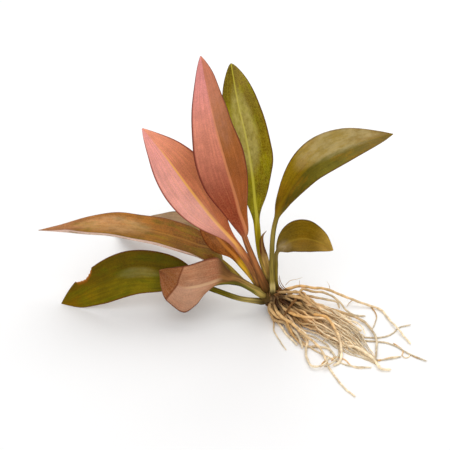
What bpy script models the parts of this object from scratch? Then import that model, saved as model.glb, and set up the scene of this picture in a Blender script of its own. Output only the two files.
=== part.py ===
"""Bare-rooted Amazon sword plant, standing on its root fan and its two lowest leaf tips.

The routes below are in millimetres from the middle of the crown. +X is to the plant's right,
+Y is to its back and +Z is up. The finished plant is moved so that the middle of its base is
at the origin. Every leaf is one closed solid, petiole and blade together, and so is every root.
"""

import math

import bmesh
import bpy
import numpy as np
from mathutils import Matrix, Vector

MM = 0.001
FLOOR = -10.0

CROWN_MIDDLE = (2.5, 0.0, -1.1)
CROWN_HALF_LENGTH = 8.8
CROWN_RADIUS = 5.5
CROWN_TILT = 32.0
CROWN_RINGS = 9
CROWN_SIDES = 14
CROWN_LUMP = 0.05

LEAF_RINGS = 20
LEAF_HALF_THICKNESS = 0.34
RIB_DEPTH = 1.1
PETIOLE_FLATNESS = 0.86
CURVE_SAMPLES = 240

ROOT_SIDES = 5
ROOT_STEP = 5.6
ROOT_LEAST_POINTS = 9
ROOT_MOST_POINTS = 18
ROOT_GAP = 0.34
CROWN_GAP = 0.4
ROOT_FIRST_STEP = 2.4
START_ROUNDS = 400
START_EASE = 0.1
START_SPARE = 0.02
STALK_CLEARANCE = 1.6
SPREAD_ROUNDS = 200
SETTLE_ROUNDS = 400
ROOT_EASE = 0.06

COLOURS = {
    "crown": ((0.055, 0.035, 0.018), 0.8),
    "pink": ((0.52, 0.19, 0.15), 0.4),
    "brown": ((0.30, 0.11, 0.04), 0.4),
    "long": ((0.28, 0.15, 0.04), 0.35),
    "green": ((0.13, 0.14, 0.02), 0.3),
    "dark": ((0.08, 0.08, 0.02), 0.3),
    "folded": ((0.38, 0.19, 0.13), 0.45),
    "root": ((0.58, 0.37, 0.17), 0.6),
}

# A leaf's rows run from the crown to the tip: x, y, z, turn of the blade and fold of its halves.
# "faces" is the way its upper side looks, before the turn. "blade" is where the blade begins, as
# a share of the length, "half" its greatest half width and "widest" where along the blade that is.
# "blunt" holds how blunt its base and tip are (1 is plain, less is blunter), "stalk" the petiole's
# half width at the crown and at the blade. A "tear" is where a bite out of the back edge begins
# and ends, as shares of the length, and how deep it is.
LEAVES = {
    "leaf_tall_pink": {
        "rows": [
            (-2.5, -3.4, 5.2, 10, 20), (-7.0, -4.5, 20, 14, 24), (-12.0, -6.0, 37, 18, 26),
            (-17.0, -8.0, 61, 20, 24), (-22.0, -10.0, 81, 19, 20), (-27.5, -12.0, 107, 19, 19),
            (-31.5, -13.0, 129, 19, 19), (-33.5, -13.0, 142.5, 15, 15)],
        "faces": (0, 0.82, -0.57), "blade": 0.25, "half": 14.2, "widest": 0.38,
        "blunt": (0.85, 0.75), "stalk": (1.3, 1.6), "colour": "pink"},
    "leaf_left_pink": {
        "rows": [
            (-4.8, -1.6, 4.6, 0, 12), (-10.0, -2.5, 18, 0, 12), (-17.0, -3.0, 31, 6, 20),
            (-29.5, -2.0, 47.5, 6, 16), (-40.5, 0.0, 63.5, 5, 12), (-52.5, 2.0, 82.0, 6, 12),
            (-61.5, 3.0, 94.3, 6, 12)],
        "faces": (0, 0.82, -0.57), "blade": 0.24, "half": 12.4, "widest": 0.52,
        "blunt": (1.0, 0.85), "stalk": (1.3, 1.6), "colour": "pink"},
    "leaf_left_brown": {
        "rows": [
            (-6.2, 2.1, 3.3, 0, 8), (-11.5, 2.2, 11.8, 0, 10), (-17.5, 3.4, 19.6, 0, 12),
            (-24.5, 5.4, 27.2, 0, 14), (-31.0, 9.6, 34.8, 0, 20), (-36.0, 14.0, 43.4, 0, 24)],
        "faces": (0, 0.82, -0.57), "blade": 0.32, "half": 7.0, "widest": 0.42,
        "blunt": (1.0, 0.9), "stalk": (1.3, 1.6), "colour": "brown"},
    "leaf_long_left": {
        "rows": [
            (-6.6, -0.4, 0.2, 0, 6), (-13.5, 2.8, 5.2, 0, 6), (-22.0, 9.6, 10.6, 0, 6),
            (-33.5, 11.0, 19.5, 2, 3), (-47.0, 12.0, 25.0, 2, 3), (-62.0, 11.5, 30, 0, 3),
            (-79.0, 10.0, 34.2, 0, 3), (-96.5, 9.0, 34.2, 0, 3), (-114.5, 8.0, 33, 0, 3)],
        "faces": (0, 0, 1), "blade": 0.20, "half": 12.4, "widest": 0.38,
        "blunt": (0.8, 1.0), "stalk": (1.3, 1.6), "colour": "long"},
    "leaf_torn": {
        "rows": [
            (-4.6, -3.2, -3.6, 0, 8), (-15.0, -3.5, -3.2, 0, 8), (-26.5, -1.5, 1.8, 0, 8),
            (-40.0, 2.0, 5.4, 0, 8), (-55.0, 4.0, 7.4, 0, 8), (-70.0, 5.0, 7.2, 0, 8),
            (-87.5, 4.5, 0.8, 0, 6), (-104.5, 3.4, -9.5, 0, 4)],
        "faces": (0, -0.75, 0.66), "blade": 0.26, "half": 11.9, "widest": 0.52,
        "blunt": (0.95, 0.85), "stalk": (1.25, 1.4), "colour": "dark",
        "tear": (0.848, 0.91, 2.6)},
    "leaf_green": {
        "rows": [
            (-0.9, 2.0, 6.2, 0, 12), (-4.2, 4.0, 18.7, 0, 12), (-6.8, 6.0, 38.5, 15, 20),
            (-9.4, 9.0, 64, 24, 25), (-12.4, 13.0, 82.7, 22, 22), (-16.3, 17.0, 99.5, 20, 20),
            (-19.7, 21.0, 119.2, 16, 16)],
        "faces": (0, -0.82, 0.57), "blade": 0.27, "half": 12.6, "widest": 0.53,
        "blunt": (1.1, 0.62), "stalk": (1.2, 1.5), "colour": "green"},
    "leaf_right": {
        "rows": [
            (2.2, -3.6, 3.9, 0, 14), (0.6, -2.5, 20.5, 0, 14), (1.8, 0.0, 41, -10, 25),
            (7.0, 4.0, 55.2, -8, 42), (18.5, 8.0, 70, -16, 34), (35.0, 11.0, 79.0, -16, 28),
            (58.0, 13.0, 85.0, -10, 16)],
        "faces": (0, -0.82, 0.57), "blade": 0.35, "half": 11.9, "widest": 0.54,
        "blunt": (1.5, 0.95), "stalk": (1.25, 1.5), "colour": "green"},
    "leaf_small": {
        "rows": [
            (5.4, -0.8, 5.2, 0, 6), (3.4, 1.0, 15.4, 0, 6), (3.4, 3.0, 22.5, -10, 10),
            (8.8, 5.0, 27.2, -25, 25), (16.0, 6.0, 28.7, -25, 25), (24.5, 7.0, 25.5, -25, 25),
            (32.0, 8.0, 19.6, -20, 20)],
        "faces": (0, -0.82, 0.57), "blade": 0.37, "half": 10.3, "widest": 0.45,
        "blunt": (1.1, 0.9), "stalk": (1.05, 1.1), "colour": "green"},
    "leaf_back": {
        "rows": [
            (-4.2, 4.4, 2.0, 0, 8), (-10.0, 12.0, 7, 0, 8), (-19.0, 22.0, 11.5, 0, 10),
            (-34.0, 34.0, 13.5, 0, 12), (-52.5, 47.0, 9, 0, 12), (-70.0, 58.0, 0, 0, 10),
            (-81.0, 66.0, -9.6, 0, 6)],
        "faces": (0, 0, 1), "blade": 0.32, "half": 9.5, "widest": 0.42,
        "blunt": (1.0, 0.9), "stalk": (1.2, 1.4), "colour": "green"},
    "spear": {
        "rows": [
            (0.9, -0.9, 6.8, 0, 0), (-2.2, -0.4, 19, 0, 0), (-4.6, 0.6, 28.5, 0, 0),
            (-4.1, 1.6, 33.2, 0, 0), (-2.2, 2.0, 36, 0, 0)],
        "faces": (0, -1, 0.2), "blade": 0.1, "half": 1.5, "widest": 0.35,
        "blunt": (1.0, 1.0), "stalk": (1.0, 0.9), "colour": "green", "rolled": True},
}

# The folded leaf hangs crumpled. Its petiole has a middle line and its blade has three: each row
# holds x, y, z of the midrib, then of the back edge, then of the front edge.
FOLDED_STALK = [(-4.2, -5.6, 2.6), (-9.0, -6.5, 7.0), (-14.1, -7.5, 10.6), (-18.5, -8.6, 13.2)]
FOLDED_STALK_RADIUS = 1.45
FOLDED_ROWS = [
    (-20.5, -9.2, 14.0, -20.0, -7.4, 15.2, -21.5, -10.6, 12.9),
    (-24.5, -10.0, 14.6, -25.0, -4.5, 23.6, -27.5, -11.5, 12.2),
    (-31.0, -11.5, 13.3, -30.0, -4.5, 24.2, -32.5, -13.5, 8.5),
    (-37.0, -12.0, 12.2, -35.0, -4.5, 22.2, -37.0, -15.0, 3.0),
    (-43.0, -12.0, 12.0, -42.0, -4.5, 19.5, -43.5, -16.5, 0.0),
    (-47.0, -9.5, 13.0, -47.0, -3.5, 18.0, -51.0, -14.0, 5.0),
    (-51.0, -5.0, 14.0, -51.5, -2.0, 16.3, -54.0, -9.0, 9.0),
    (-54.5, -1.8, 14.0, -54.5, -1.0, 14.6, -54.8, -3.0, 13.4)]
FOLDED_TIP = (-55.3, -1.2, 14.0)
FOLDED_RINGS = 18

# A root has its radius at the crown and at its tip, the way it leaves the crown (degrees from +X
# towards +Y, and degrees up) and the route from there.
ROOT_ROUTES = {
    "root_top_long": (0.80, 0.50, (28, 8), [
        (15, 3.2, 0.6), (28, 4.4, -1.6), (37, 3.3, -5), (46, 1.4, -8), (55, -2, -9.3),
        (61, -15, -9.3), (68.5, -30, -9.3)]),
    "root_top_short": (0.75, 0.50, (12, 0), [
        (18, 1.6, -0.6), (29, 2.6, -3), (35, -1, -6), (40.5, -6, -9.3), (48, -7.6, -9.3)]),
    "root_hooked": (0.75, 0.60, (-4, -8), [
        (18, 0.4, -2.4), (29, 0.4, -5.2), (34, 0.1, -6.5), (35, -2.5, -8.5)]),
    "root_side": (0.85, 0.60, (-12, -24), [
        (20, -3.8, -4.4), (32, -5.8, -7.5), (46.5, -13, -9.3), (51.5, -28, -9.3),
        (50, -42, -9.3)]),
    "root_thin_right": (0.60, 0.36, (-42, -6), [
        (18, -9.5, -5), (29.5, -15.7, -8.5), (44, -23.6, -9.4), (57, -23.6, -9.4),
        (65, -15.6, -9.4), (70, -14.4, -9.4)]),
    "root_far_right": (0.60, 0.36, (-50, -22), [
        (18, -11.5, -6), (29.4, -19, -8.5), (44, -26.7, -9.4), (58, -29, -9.4),
        (65, -35.5, -9.4), (75, -43, -9.4)]),
    "root_thick_front": (0.95, 0.65, (-62, -12), [
        (15, -12, -6.5), (24.4, -19.2, -9), (34, -29, -9), (43, -35.3, -9),
        (49, -42, -9.1), (54, -50.5, -9.2), (57.5, -49.7, -9.2)]),
    "root_curled": (0.75, 0.50, (-36, -34), [
        (14, -9, -6.5), (25, -19, -9), (32, -31, -9.3), (32, -40, -9.3),
        (29, -45, -9.3), (24, -48, -9.3)]),
    "root_loop": (0.90, 0.55, (-104, -22), [
        (3, -7.6, -5.5), (5, -10.5, -8), (9.8, -13.3, -8.6), (14, -18, -9.2),
        (16.7, -28.3, -9.2), (17.2, -41.4, -9.3), (20.3, -48.4, -9.3), (25, -47.8, -9.3),
        (28, -41.4, -9.3)]),
    "root_bent": (0.80, 0.50, (-88, -38), [
        (7.7, -16, -8.8), (10.4, -24.6, -9.2), (15.7, -27.6, -8.2),
        (21.7, -26.6, -9.2), (26.9, -29.8, -9.3), (29, -36.8, -9.3)]),
    "root_front_long": (0.85, 0.45, (-78, -22), [
        (10.7, -17.6, -7.4), (17.2, -27.5, -7.6), (21.5, -30.6, -8.8),
        (24.7, -36, -9.3), (28.4, -49.7, -9.4), (33.5, -61.6, -9.4), (39.2, -69.6, -9.4)]),
    "root_thin_front": (0.45, 0.32, (-122, -36), [
        (2, -10.8, -9.2), (1.8, -18.8, -9.5), (3.6, -25, -9.5), (7.5, -34.5, -9.5)]),
    "root_crossing": (0.55, 0.36, (-66, -52), [
        (9, -14, -9.4), (13.5, -23.5, -9.4), (22.8, -36, -9.4),
        (31, -42, -9.4), (38.7, -46.7, -9.4), (48.3, -47.5, -9.4)]),
    "root_end_right": (0.55, 0.36, (-34, -54), [
        (22, -17, -9.3), (38.6, -31.5, -9.4), (47.6, -41.2, -9.4),
        (55, -41.4, -9.4), (63.4, -39.1, -9.4)]),
    "root_cut": (0.90, 0.85, (-24, -4), [
        (22.4, -6.6, -5), (37.2, -12.4, -8.8), (44.5, -22, -9)]),
    "root_inner": (0.70, 0.50, (2, -14), [
        (15, -1.7, -4), (27.5, -3.7, -6.6), (36, -5.9, -9.2), (41, -10, -9.3)]),
    "root_bundle_left": (0.80, 0.55, (-98, -52), [
        (5.5, -15, -9.2), (9.5, -24, -9.2), (13, -31, -9.3)]),
    "root_bundle_middle": (0.80, 0.55, (-84, -4), [
        (7.5, -14, -6.6), (12.5, -24, -7.2), (16.5, -33.5, -9.2)]),
    "root_bundle_right": (0.75, 0.50, (-70, -36), [
        (9.5, -13.5, -8.6), (14.5, -22, -8.8), (18.5, -29, -9.3)]),
}

# The rest of the fan fills the space between two edge routes, in three layers.
FAN_COUNT = 18
FAN_RADIUS = (0.74, 0.50)
FAN_BACK_EDGE = [(16, -3, -3), (26, -6, -6), (35, -10, -8), (44, -17, -9.2), (49, -28, -9.3)]
FAN_FRONT_EDGE = [(11, -11, -7), (18, -18, -8.4), (26, -25, -9), (34, -32, -9.2), (42, -38, -9.3)]
FAN_LEAVES_CROWN = ((20, -72), (-32, -8, -50))
FAN_LAYERS = (0.8, 3.0, 0.2)
FAN_WAVE = 1.3
FAN_SHORTEST = 0.72


def smooth_rows(rows, shares):
    """Reads a smooth curve through rows of numbers at shares of its length in space."""
    table = np.array(rows, dtype=float)
    steps = np.linalg.norm(np.diff(table[:, :3], axis=0), axis=1)
    knots = np.concatenate(([0.0], np.cumsum(np.sqrt(steps))))
    slopes = np.gradient(table, knots, axis=0)
    fine = np.linspace(0.0, knots[-1], CURVE_SAMPLES)
    place = np.clip(np.searchsorted(knots, fine, side="right") - 1, 0, len(knots) - 2)
    span = (knots[place + 1] - knots[place])[:, None]
    part = ((fine - knots[place])[:, None]) / span
    curve = (
        (2 * part**3 - 3 * part**2 + 1) * table[place]
        + (part**3 - 2 * part**2 + part) * span * slopes[place]
        + (3 * part**2 - 2 * part**3) * table[place + 1]
        + (part**3 - part**2) * span * slopes[place + 1]
    )
    moves = np.linalg.norm(np.diff(curve[:, :3], axis=0), axis=1)
    travel = np.concatenate(([0.0], np.cumsum(moves)))
    wanted = np.asarray(shares) * travel[-1]
    columns = [np.interp(wanted, travel, curve[:, column]) for column in range(curve.shape[1])]
    return np.stack(columns, axis=1)


def route_length(rows):
    return float(np.linalg.norm(np.diff(np.array(rows, dtype=float)[:, :3], axis=0), axis=1).sum())


def eased(value):
    """Goes smoothly from 0 to 1."""
    value = min(max(value, 0.0), 1.0)
    return value * value * (3.0 - 2.0 * value)


def blade_width(along, widest, blunt):
    """Half width of a sword leaf as a share of its greatest, from base (0) to tip (1)."""
    along = min(max(along, 0.0), 1.0)
    bend = math.log(0.5) / math.log(widest)
    power = blunt[0] + (blunt[1] - blunt[0]) * along
    return max(math.sin(math.pi * along**bend), 0.0) ** power


def material(name):
    """One matt or glossy finish of a single colour."""
    colour, roughness = COLOURS[name]
    made = bpy.data.materials.new(name)
    made.use_nodes = True
    shader = made.node_tree.nodes["Principled BSDF"]
    shader.inputs["Base Color"].default_value = (*colour, 1.0)
    shader.inputs["Roughness"].default_value = roughness
    made.diffuse_color = (*colour, 1.0)
    return made


def rings_to_object(name, rings, tip, colour):
    """Joins rings of points, all with the same count, to one closed solid."""
    mesh = bmesh.new()
    made = [[mesh.verts.new(Vector(point) * MM) for point in ring] for ring in rings]
    count = len(made[0])
    for low, high in zip(made, made[1:]):
        for side in range(count):
            other = (side + 1) % count
            mesh.faces.new((low[side], low[other], high[other], high[side]))
    mesh.faces.new(list(reversed(made[0])))
    if tip is None:
        mesh.faces.new(made[-1])
    else:
        apex = mesh.verts.new(Vector(tip) * MM)
        for side in range(count):
            mesh.faces.new((made[-1][side], made[-1][(side + 1) % count], apex))
    bmesh.ops.triangulate(mesh, faces=mesh.faces)
    bmesh.ops.recalc_face_normals(mesh, faces=mesh.faces)
    data = bpy.data.meshes.new(name)
    mesh.to_mesh(data)
    mesh.free()
    data.materials.append(material(colour))
    data.shade_smooth()
    made_object = bpy.data.objects.new(name, data)
    bpy.context.collection.objects.link(made_object)
    return made_object


def leaf_section(back, front, petiole, rib, fold):
    """Eight points across a leaf, (sideways, up): one edge, over the top, the other edge, under."""
    round_part = [
        (-1.0, 0.0), (-0.7, 0.7), (0.0, 1.0), (0.7, 0.7),
        (1.0, 0.0), (0.7, -0.7), (0.0, -1.0), (-0.7, -0.7)]
    flat_part = [
        (-1.0, 0.0), (-0.5, 1.0), (0.0, 0.6), (0.5, 1.0),
        (1.0, 0.0), (0.5, -1.0), (0.0, -rib), (-0.5, -1.0)]
    flat = 1.0 - petiole
    points = []
    for rounded, level in zip(round_part, flat_part):
        reach = front if rounded[0] > 0 else back
        sideways = reach * (rounded[0] * petiole + level[0] * flat)
        thick = reach * PETIOLE_FLATNESS * rounded[1] * petiole
        thick += LEAF_HALF_THICKNESS * level[1] * flat
        lift = abs(sideways) * math.sin(math.radians(fold)) * flat
        narrowed = sideways * (math.cos(math.radians(fold)) * flat + petiole)
        points.append((narrowed, thick + lift))
    return points


def bite(share, tear):
    """How much of the edge is torn away at a share of the leaf's length."""
    if tear is None or not tear[0] < share < tear[1]:
        return 0.0
    return tear[2] * (1.0 - (share - tear[0]) / (tear[1] - tear[0]))


def leaf(name, plan):
    """Sweeps the leaf's section along its midrib, from the round petiole to the flat blade."""
    tear = plan.get("tear")
    shares = [ring / LEAF_RINGS for ring in range(LEAF_RINGS)]
    if tear:
        shares = sorted(shares + [tear[0] - 0.002, tear[0] + 0.002])
    shares.append(1.0)
    rows = smooth_rows(plan["rows"], shares)
    ahead = smooth_rows(plan["rows"], [min(share + 0.01, 1.0) for share in shares])[:, :3]
    behind = smooth_rows(plan["rows"], [max(share - 0.01, 0.0) for share in shares])[:, :3]
    rings = []
    for share, row, way in zip(shares[:-1], rows[:-1], (ahead - behind)[:-1]):
        forward = Vector(way).normalized()
        side = forward.cross(Vector(plan["faces"])).normalized()
        up = side.cross(forward).normalized()
        turn = Matrix.Rotation(math.radians(row[3]), 3, forward)
        side = turn @ side
        up = turn @ up
        along = (share - plan["blade"]) / (1 - plan["blade"])
        at_blade = eased(share / plan["blade"])
        stalk = plan["stalk"][0] * (1 - at_blade) + plan["stalk"][1] * at_blade
        stalk *= 1.0 - 0.8 * eased(along * 2.2)
        spread = plan["half"] * blade_width(along, plan["widest"], plan["blunt"])
        width = math.hypot(stalk, spread)
        petiole = 1.0 if plan.get("rolled") else 1.0 - eased(along * 6.0)
        rib = 1.0 + RIB_DEPTH * (1.0 - max(along, 0.0))
        middle = Vector(row[:3])
        section = leaf_section(width, width - bite(share, tear), petiole, rib, row[4])
        rings.append([middle + side * across + up * over for across, over in section])
    return rings_to_object(name, rings, rows[-1][:3], plan["colour"])


def folded_ring(middle, back, front, forward):
    """Eight points across the folded blade, between its midrib and its two edges."""
    back_normal = forward.cross(middle - back).normalized()
    front_normal = forward.cross(front - middle).normalized()
    rib_normal = (back_normal + front_normal).normalized()
    thick = LEAF_HALF_THICKNESS
    back_half = (back + middle) / 2
    front_half = (front + middle) / 2
    return [
        back, back_half + back_normal * thick, middle + rib_normal * thick,
        front_half + front_normal * thick, front, front_half - front_normal * thick,
        middle - rib_normal * thick * 1.8, back_half - back_normal * thick]


def folded_leaf():
    """The crumpled leaf: a round petiole, then the blade between its midrib and two edges."""
    shares = [ring / FOLDED_RINGS for ring in range(FOLDED_RINGS + 1)]
    rows = smooth_rows(FOLDED_ROWS, shares)
    ways = np.gradient(rows[:, :3], axis=0)
    blade = []
    for row, way in zip(rows, ways):
        forward = Vector(way).normalized()
        blade.append(folded_ring(Vector(row[:3]), Vector(row[3:6]), Vector(row[6:]), forward))
    stalk_rows = smooth_rows(FOLDED_STALK, [0.0, 0.2, 0.4, 0.6, 0.8, 1.0])
    stalk_ways = np.gradient(stalk_rows, axis=0)
    rings = []
    across_blade = blade[0][4] - blade[0][0]
    for row, way in zip(stalk_rows, stalk_ways):
        forward = Vector(way).normalized()
        side = (across_blade - forward * across_blade.dot(forward)).normalized()
        up = forward.cross(side).normalized()
        ring = []
        for step in range(8):
            angle = math.pi * (1 - step / 4)
            spoke = side * math.cos(angle) + up * math.sin(angle)
            ring.append(Vector(row) + spoke * FOLDED_STALK_RADIUS)
        rings.append(ring)
    return rings_to_object("leaf_folded", rings + blade, FOLDED_TIP, "folded")


def crown_turn():
    """The crown's own axis leans from upright towards the roots, down and to the right."""
    return Matrix.Rotation(math.radians(90 + CROWN_TILT), 3, "Y")


def crown():
    """A short tilted stub with low lumps where old leaves grew."""
    turn = crown_turn()
    rings = []
    for ring in range(1, CROWN_RINGS):
        angle = math.pi * ring / CROWN_RINGS
        points = []
        for side in range(CROWN_SIDES):
            around = 2 * math.pi * side / CROWN_SIDES
            lump = 1 + CROWN_LUMP * (math.sin(3 * around + 1.7 * ring) - 1)
            reach = CROWN_RADIUS * math.sin(angle) * lump
            along = -math.cos(angle) * CROWN_HALF_LENGTH
            point = Vector((reach * math.cos(around), reach * math.sin(around), along))
            points.append(Vector(CROWN_MIDDLE) + turn @ point)
        rings.append(points)
    return rings_to_object("crown", rings, None, "crown")


def fan_routes():
    """Fills the middle of the root fan with routes between its back and its front edge."""
    routes = {}
    steps = np.linspace(0, 1, 9)
    back = smooth_rows(FAN_BACK_EDGE, steps)
    front = smooth_rows(FAN_FRONT_EDGE, steps)
    around, heights = FAN_LEAVES_CROWN
    for number in range(FAN_COUNT):
        mix = (number + 0.5) / FAN_COUNT
        layer = number % 3
        route = back * (1 - mix) + front * mix
        route[:, 1] += np.sin(steps * math.pi * 2 + number * 2.4) * FAN_WAVE * steps
        route[:, 2] += FAN_LAYERS[layer] * (1 - steps) ** 0.7
        reach = FAN_SHORTEST + (1 - FAN_SHORTEST) * (0.5 + 0.5 * math.sin(number * 5.1))
        leaves = (around[0] + (around[1] - around[0]) * mix, heights[layer])
        route = smooth_rows(route, steps * reach)
        routes[f"root_fan_{number + 1:02d}"] = (*FAN_RADIUS, leaves, route.tolist())
    return routes


def on_crown(points, proud):
    """The nearest points on the crown's surface, moved out by a little, and the ways out there."""
    turn = np.array(crown_turn())
    sizes = np.array([CROWN_RADIUS, CROWN_RADIUS, CROWN_HALF_LENGTH])
    local = (points - np.array(CROWN_MIDDLE)) @ turn
    local /= np.linalg.norm(local / sizes, axis=1)[:, None]
    outward = local / sizes**2
    outward /= np.linalg.norm(outward, axis=1)[:, None]
    local += outward * proud
    return local @ turn.T + np.array(CROWN_MIDDLE), outward @ turn.T


def root_starts(routes):
    """Spaces the places where the roots leave the crown evenly, clear of the petioles."""
    ways = []
    for _, _, (around, up), _ in routes.values():
        level = math.cos(math.radians(up))
        ways.append((
            level * math.cos(math.radians(around)), level * math.sin(math.radians(around)),
            math.sin(math.radians(up))))
    stalks = [plan["rows"][0][:3] for plan in LEAVES.values()] + [FOLDED_STALK[0]]
    outside = np.array(CROWN_MIDDLE) + np.array(ways) * CROWN_HALF_LENGTH
    points = np.concatenate([outside, np.array(stalks)])
    sizes = np.array([route[0] for route in routes.values()] + [STALK_CLEARANCE] * len(stalks))
    count = len(routes)
    one, two = np.triu_indices(len(points), 1)
    need = sizes[one] + sizes[two] + ROOT_GAP + START_SPARE
    for _ in range(START_ROUNDS):
        points[:count] = on_crown(points[:count], 0)[0]
        gap = points[one] - points[two]
        reach = np.linalg.norm(gap, axis=1)
        push = gap / reach[:, None] * (np.maximum(need - reach, 0) * START_EASE)[:, None]
        move = np.zeros_like(points)
        np.add.at(move, one, push)
        np.add.at(move, two, -push)
        points[:count] += move[:count]
    return on_crown(points[:count], CROWN_GAP)


def root_lines(routes):
    """Samples each route at even steps: its points and its radius at each of them."""
    lines = []
    for route, start, way in zip(routes.values(), *root_starts(routes)):
        first, last, _, rows = route
        leaving = start + way * ROOT_FIRST_STEP
        leaving[2] = max(leaving[2], FLOOR + first)
        rows = [start.tolist(), leaving.tolist()] + list(rows)
        count = int(min(max(route_length(rows) / ROOT_STEP, ROOT_LEAST_POINTS), ROOT_MOST_POINTS))
        shares = np.linspace(ROOT_FIRST_STEP / route_length(rows), 1, count)
        points = np.concatenate([[start], smooth_rows(rows, shares)])
        points[1] = rows[1]
        radii = first + (last - first) * np.concatenate([[0], shares])
        lines.append((points, radii))
    return lines


def leaf_lines():
    """The lower petioles as fixed lines that the roots keep clear of."""
    lines = []
    for plan in LEAVES.values():
        points = smooth_rows(plan["rows"], np.linspace(0, 0.25, 6))[:, :3]
        lines.append((points, np.full(6, plan["stalk"][1])))
    lines.append((smooth_rows(FOLDED_STALK, np.linspace(0, 1, 6)), np.full(6, FOLDED_STALK_RADIUS)))
    return lines


def closest_places(start, way, other_start, other_way):
    """Where two straight pieces come closest, as shares of each, for many pairs at once."""
    gap = start - other_start
    own = np.einsum("ij,ij->i", way, way)
    other = np.einsum("ij,ij->i", other_way, other_way)
    both = np.einsum("ij,ij->i", way, other_way)
    own_gap = np.einsum("ij,ij->i", way, gap)
    other_gap = np.einsum("ij,ij->i", other_way, gap)
    spread = own * other - both * both
    share = np.clip((both * other_gap - own_gap * other) / np.maximum(spread, 1e-9), 0, 1)
    other_share = np.clip((both * share + other_gap) / other, 0, 1)
    share = np.clip((both * other_share - own_gap) / own, 0, 1)
    return share, other_share


def off_crown(points, radii):
    """How far points that are inside the crown must move to be out of it."""
    turn = np.array(crown_turn())
    sizes = np.array([CROWN_RADIUS, CROWN_RADIUS, CROWN_HALF_LENGTH])
    local = (points - np.array(CROWN_MIDDLE)) @ turn
    level = np.linalg.norm(local / (sizes + (radii + CROWN_GAP)[:, None]), axis=1)
    return local * (1 / np.minimum(level, 1) - 1)[:, None] @ turn.T


def spread_roots(routes):
    """Moves the roots apart until none touches another, a petiole, the crown or the floor."""
    roots = root_lines(routes)
    lines = roots + leaf_lines()
    points = np.concatenate([line[0] for line in lines])
    radii = np.concatenate([line[1] for line in lines])
    owner = np.concatenate([np.full(len(line[0]), number) for number, line in enumerate(lines)])
    starts = np.cumsum([0] + [len(line[0]) for line in lines])
    inner = np.array([
        place for place in range(2, starts[len(roots)]) if owner[place - 2] == owner[place]])
    bending = np.array([place for place in inner[:-1] if owner[place] == owner[place + 1]])
    pieces = np.array([place for place in range(len(points) - 1) if owner[place] == owner[place + 1]])
    one, two = np.triu_indices(len(pieces), 1)
    one = pieces[one]
    two = pieces[two]
    apart = (owner[one] != owner[two]) & ((one < starts[len(roots)]) | (two < starts[len(roots)]))
    one = one[apart]
    two = two[apart]
    wanted = points.copy()
    for round_number in range(SPREAD_ROUNDS + SETTLE_ROUNDS):
        if round_number < SPREAD_ROUNDS:
            bend = (points[bending - 1] + points[bending + 1]) / 2 - points[bending]
            bend -= (wanted[bending - 1] + wanted[bending + 1]) / 2 - wanted[bending]
            points[bending] += bend * ROOT_EASE * 4
            points[inner] += (wanted - points)[inner] * ROOT_EASE
        way = points[one + 1] - points[one]
        other_way = points[two + 1] - points[two]
        share, other_share = closest_places(points[one], way, points[two], other_way)
        here = points[one] + way * share[:, None]
        there = points[two] + other_way * other_share[:, None]
        reach = np.linalg.norm(here - there, axis=1)
        need = radii[one] + radii[two] + ROOT_GAP
        close = reach < need
        push = (here - there)[close] / np.maximum(reach[close], 1e-6)[:, None]
        push *= ((need - reach)[close] * 0.5)[:, None]
        move = np.zeros_like(points)
        np.add.at(move, one[close], push * (1 - share)[close][:, None])
        np.add.at(move, one[close] + 1, push * share[close][:, None])
        np.add.at(move, two[close], -push * (1 - other_share)[close][:, None])
        np.add.at(move, two[close] + 1, -push * other_share[close][:, None])
        halfway = (points[inner] + points[inner - 1]) / 2
        shift = off_crown(halfway, radii[inner])
        np.add.at(move, inner, shift)
        np.add.at(move, inner - 1, shift)
        points[inner] += move[inner]
        points[inner] += off_crown(points[inner], radii[inner])
        points[inner, 2] = np.maximum(points[inner, 2], FLOOR + radii[inner])
    return {
        name: (points[starts[number]:starts[number + 1]], radii[starts[number]:starts[number + 1]])
        for number, name in enumerate(routes)}


def root(name, points, radii):
    """A tapered tube with one of its corners lowest, and a blunt tip."""
    ways = np.gradient(points, axis=0)
    rings = []
    for point, radius, way in zip(points, radii, ways):
        forward = Vector(way).normalized()
        side = forward.cross(Vector((0, 0, 1))).normalized()
        down = forward.cross(side).normalized()
        ring = []
        for step in range(ROOT_SIDES):
            angle = 2 * math.pi * step / ROOT_SIDES
            ring.append(Vector(point) + (down * math.cos(angle) + side * math.sin(angle)) * radius)
        rings.append(ring)
    return rings_to_object(name, rings, None, "root")


def to_origin(pieces):
    """Moves the whole plant so that the middle of its base is at the origin."""
    corners = np.array([corner for piece in pieces for corner in piece.bound_box])
    middle = (corners.min(axis=0) + corners.max(axis=0)) / 2
    for piece in pieces:
        piece.data.transform(Matrix.Translation((-middle[0], -middle[1], -corners[:, 2].min())))


def main():
    for old in list(bpy.data.objects):
        bpy.data.objects.remove(old)
    pieces = [crown(), folded_leaf()]
    for name, plan in LEAVES.items():
        pieces.append(leaf(name, plan))
    for name, (points, radii) in spread_roots({**ROOT_ROUTES, **fan_routes()}).items():
        pieces.append(root(name, points, radii))
    to_origin(pieces)


main()
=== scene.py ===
"""Dresses the sword plant's solids as a wet, bare-rooted plant that stands on a white table."""

import math

import bmesh
import bpy
import numpy as np
from mathutils import Matrix, Vector
from mathutils.bvhtree import BVHTree


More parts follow.
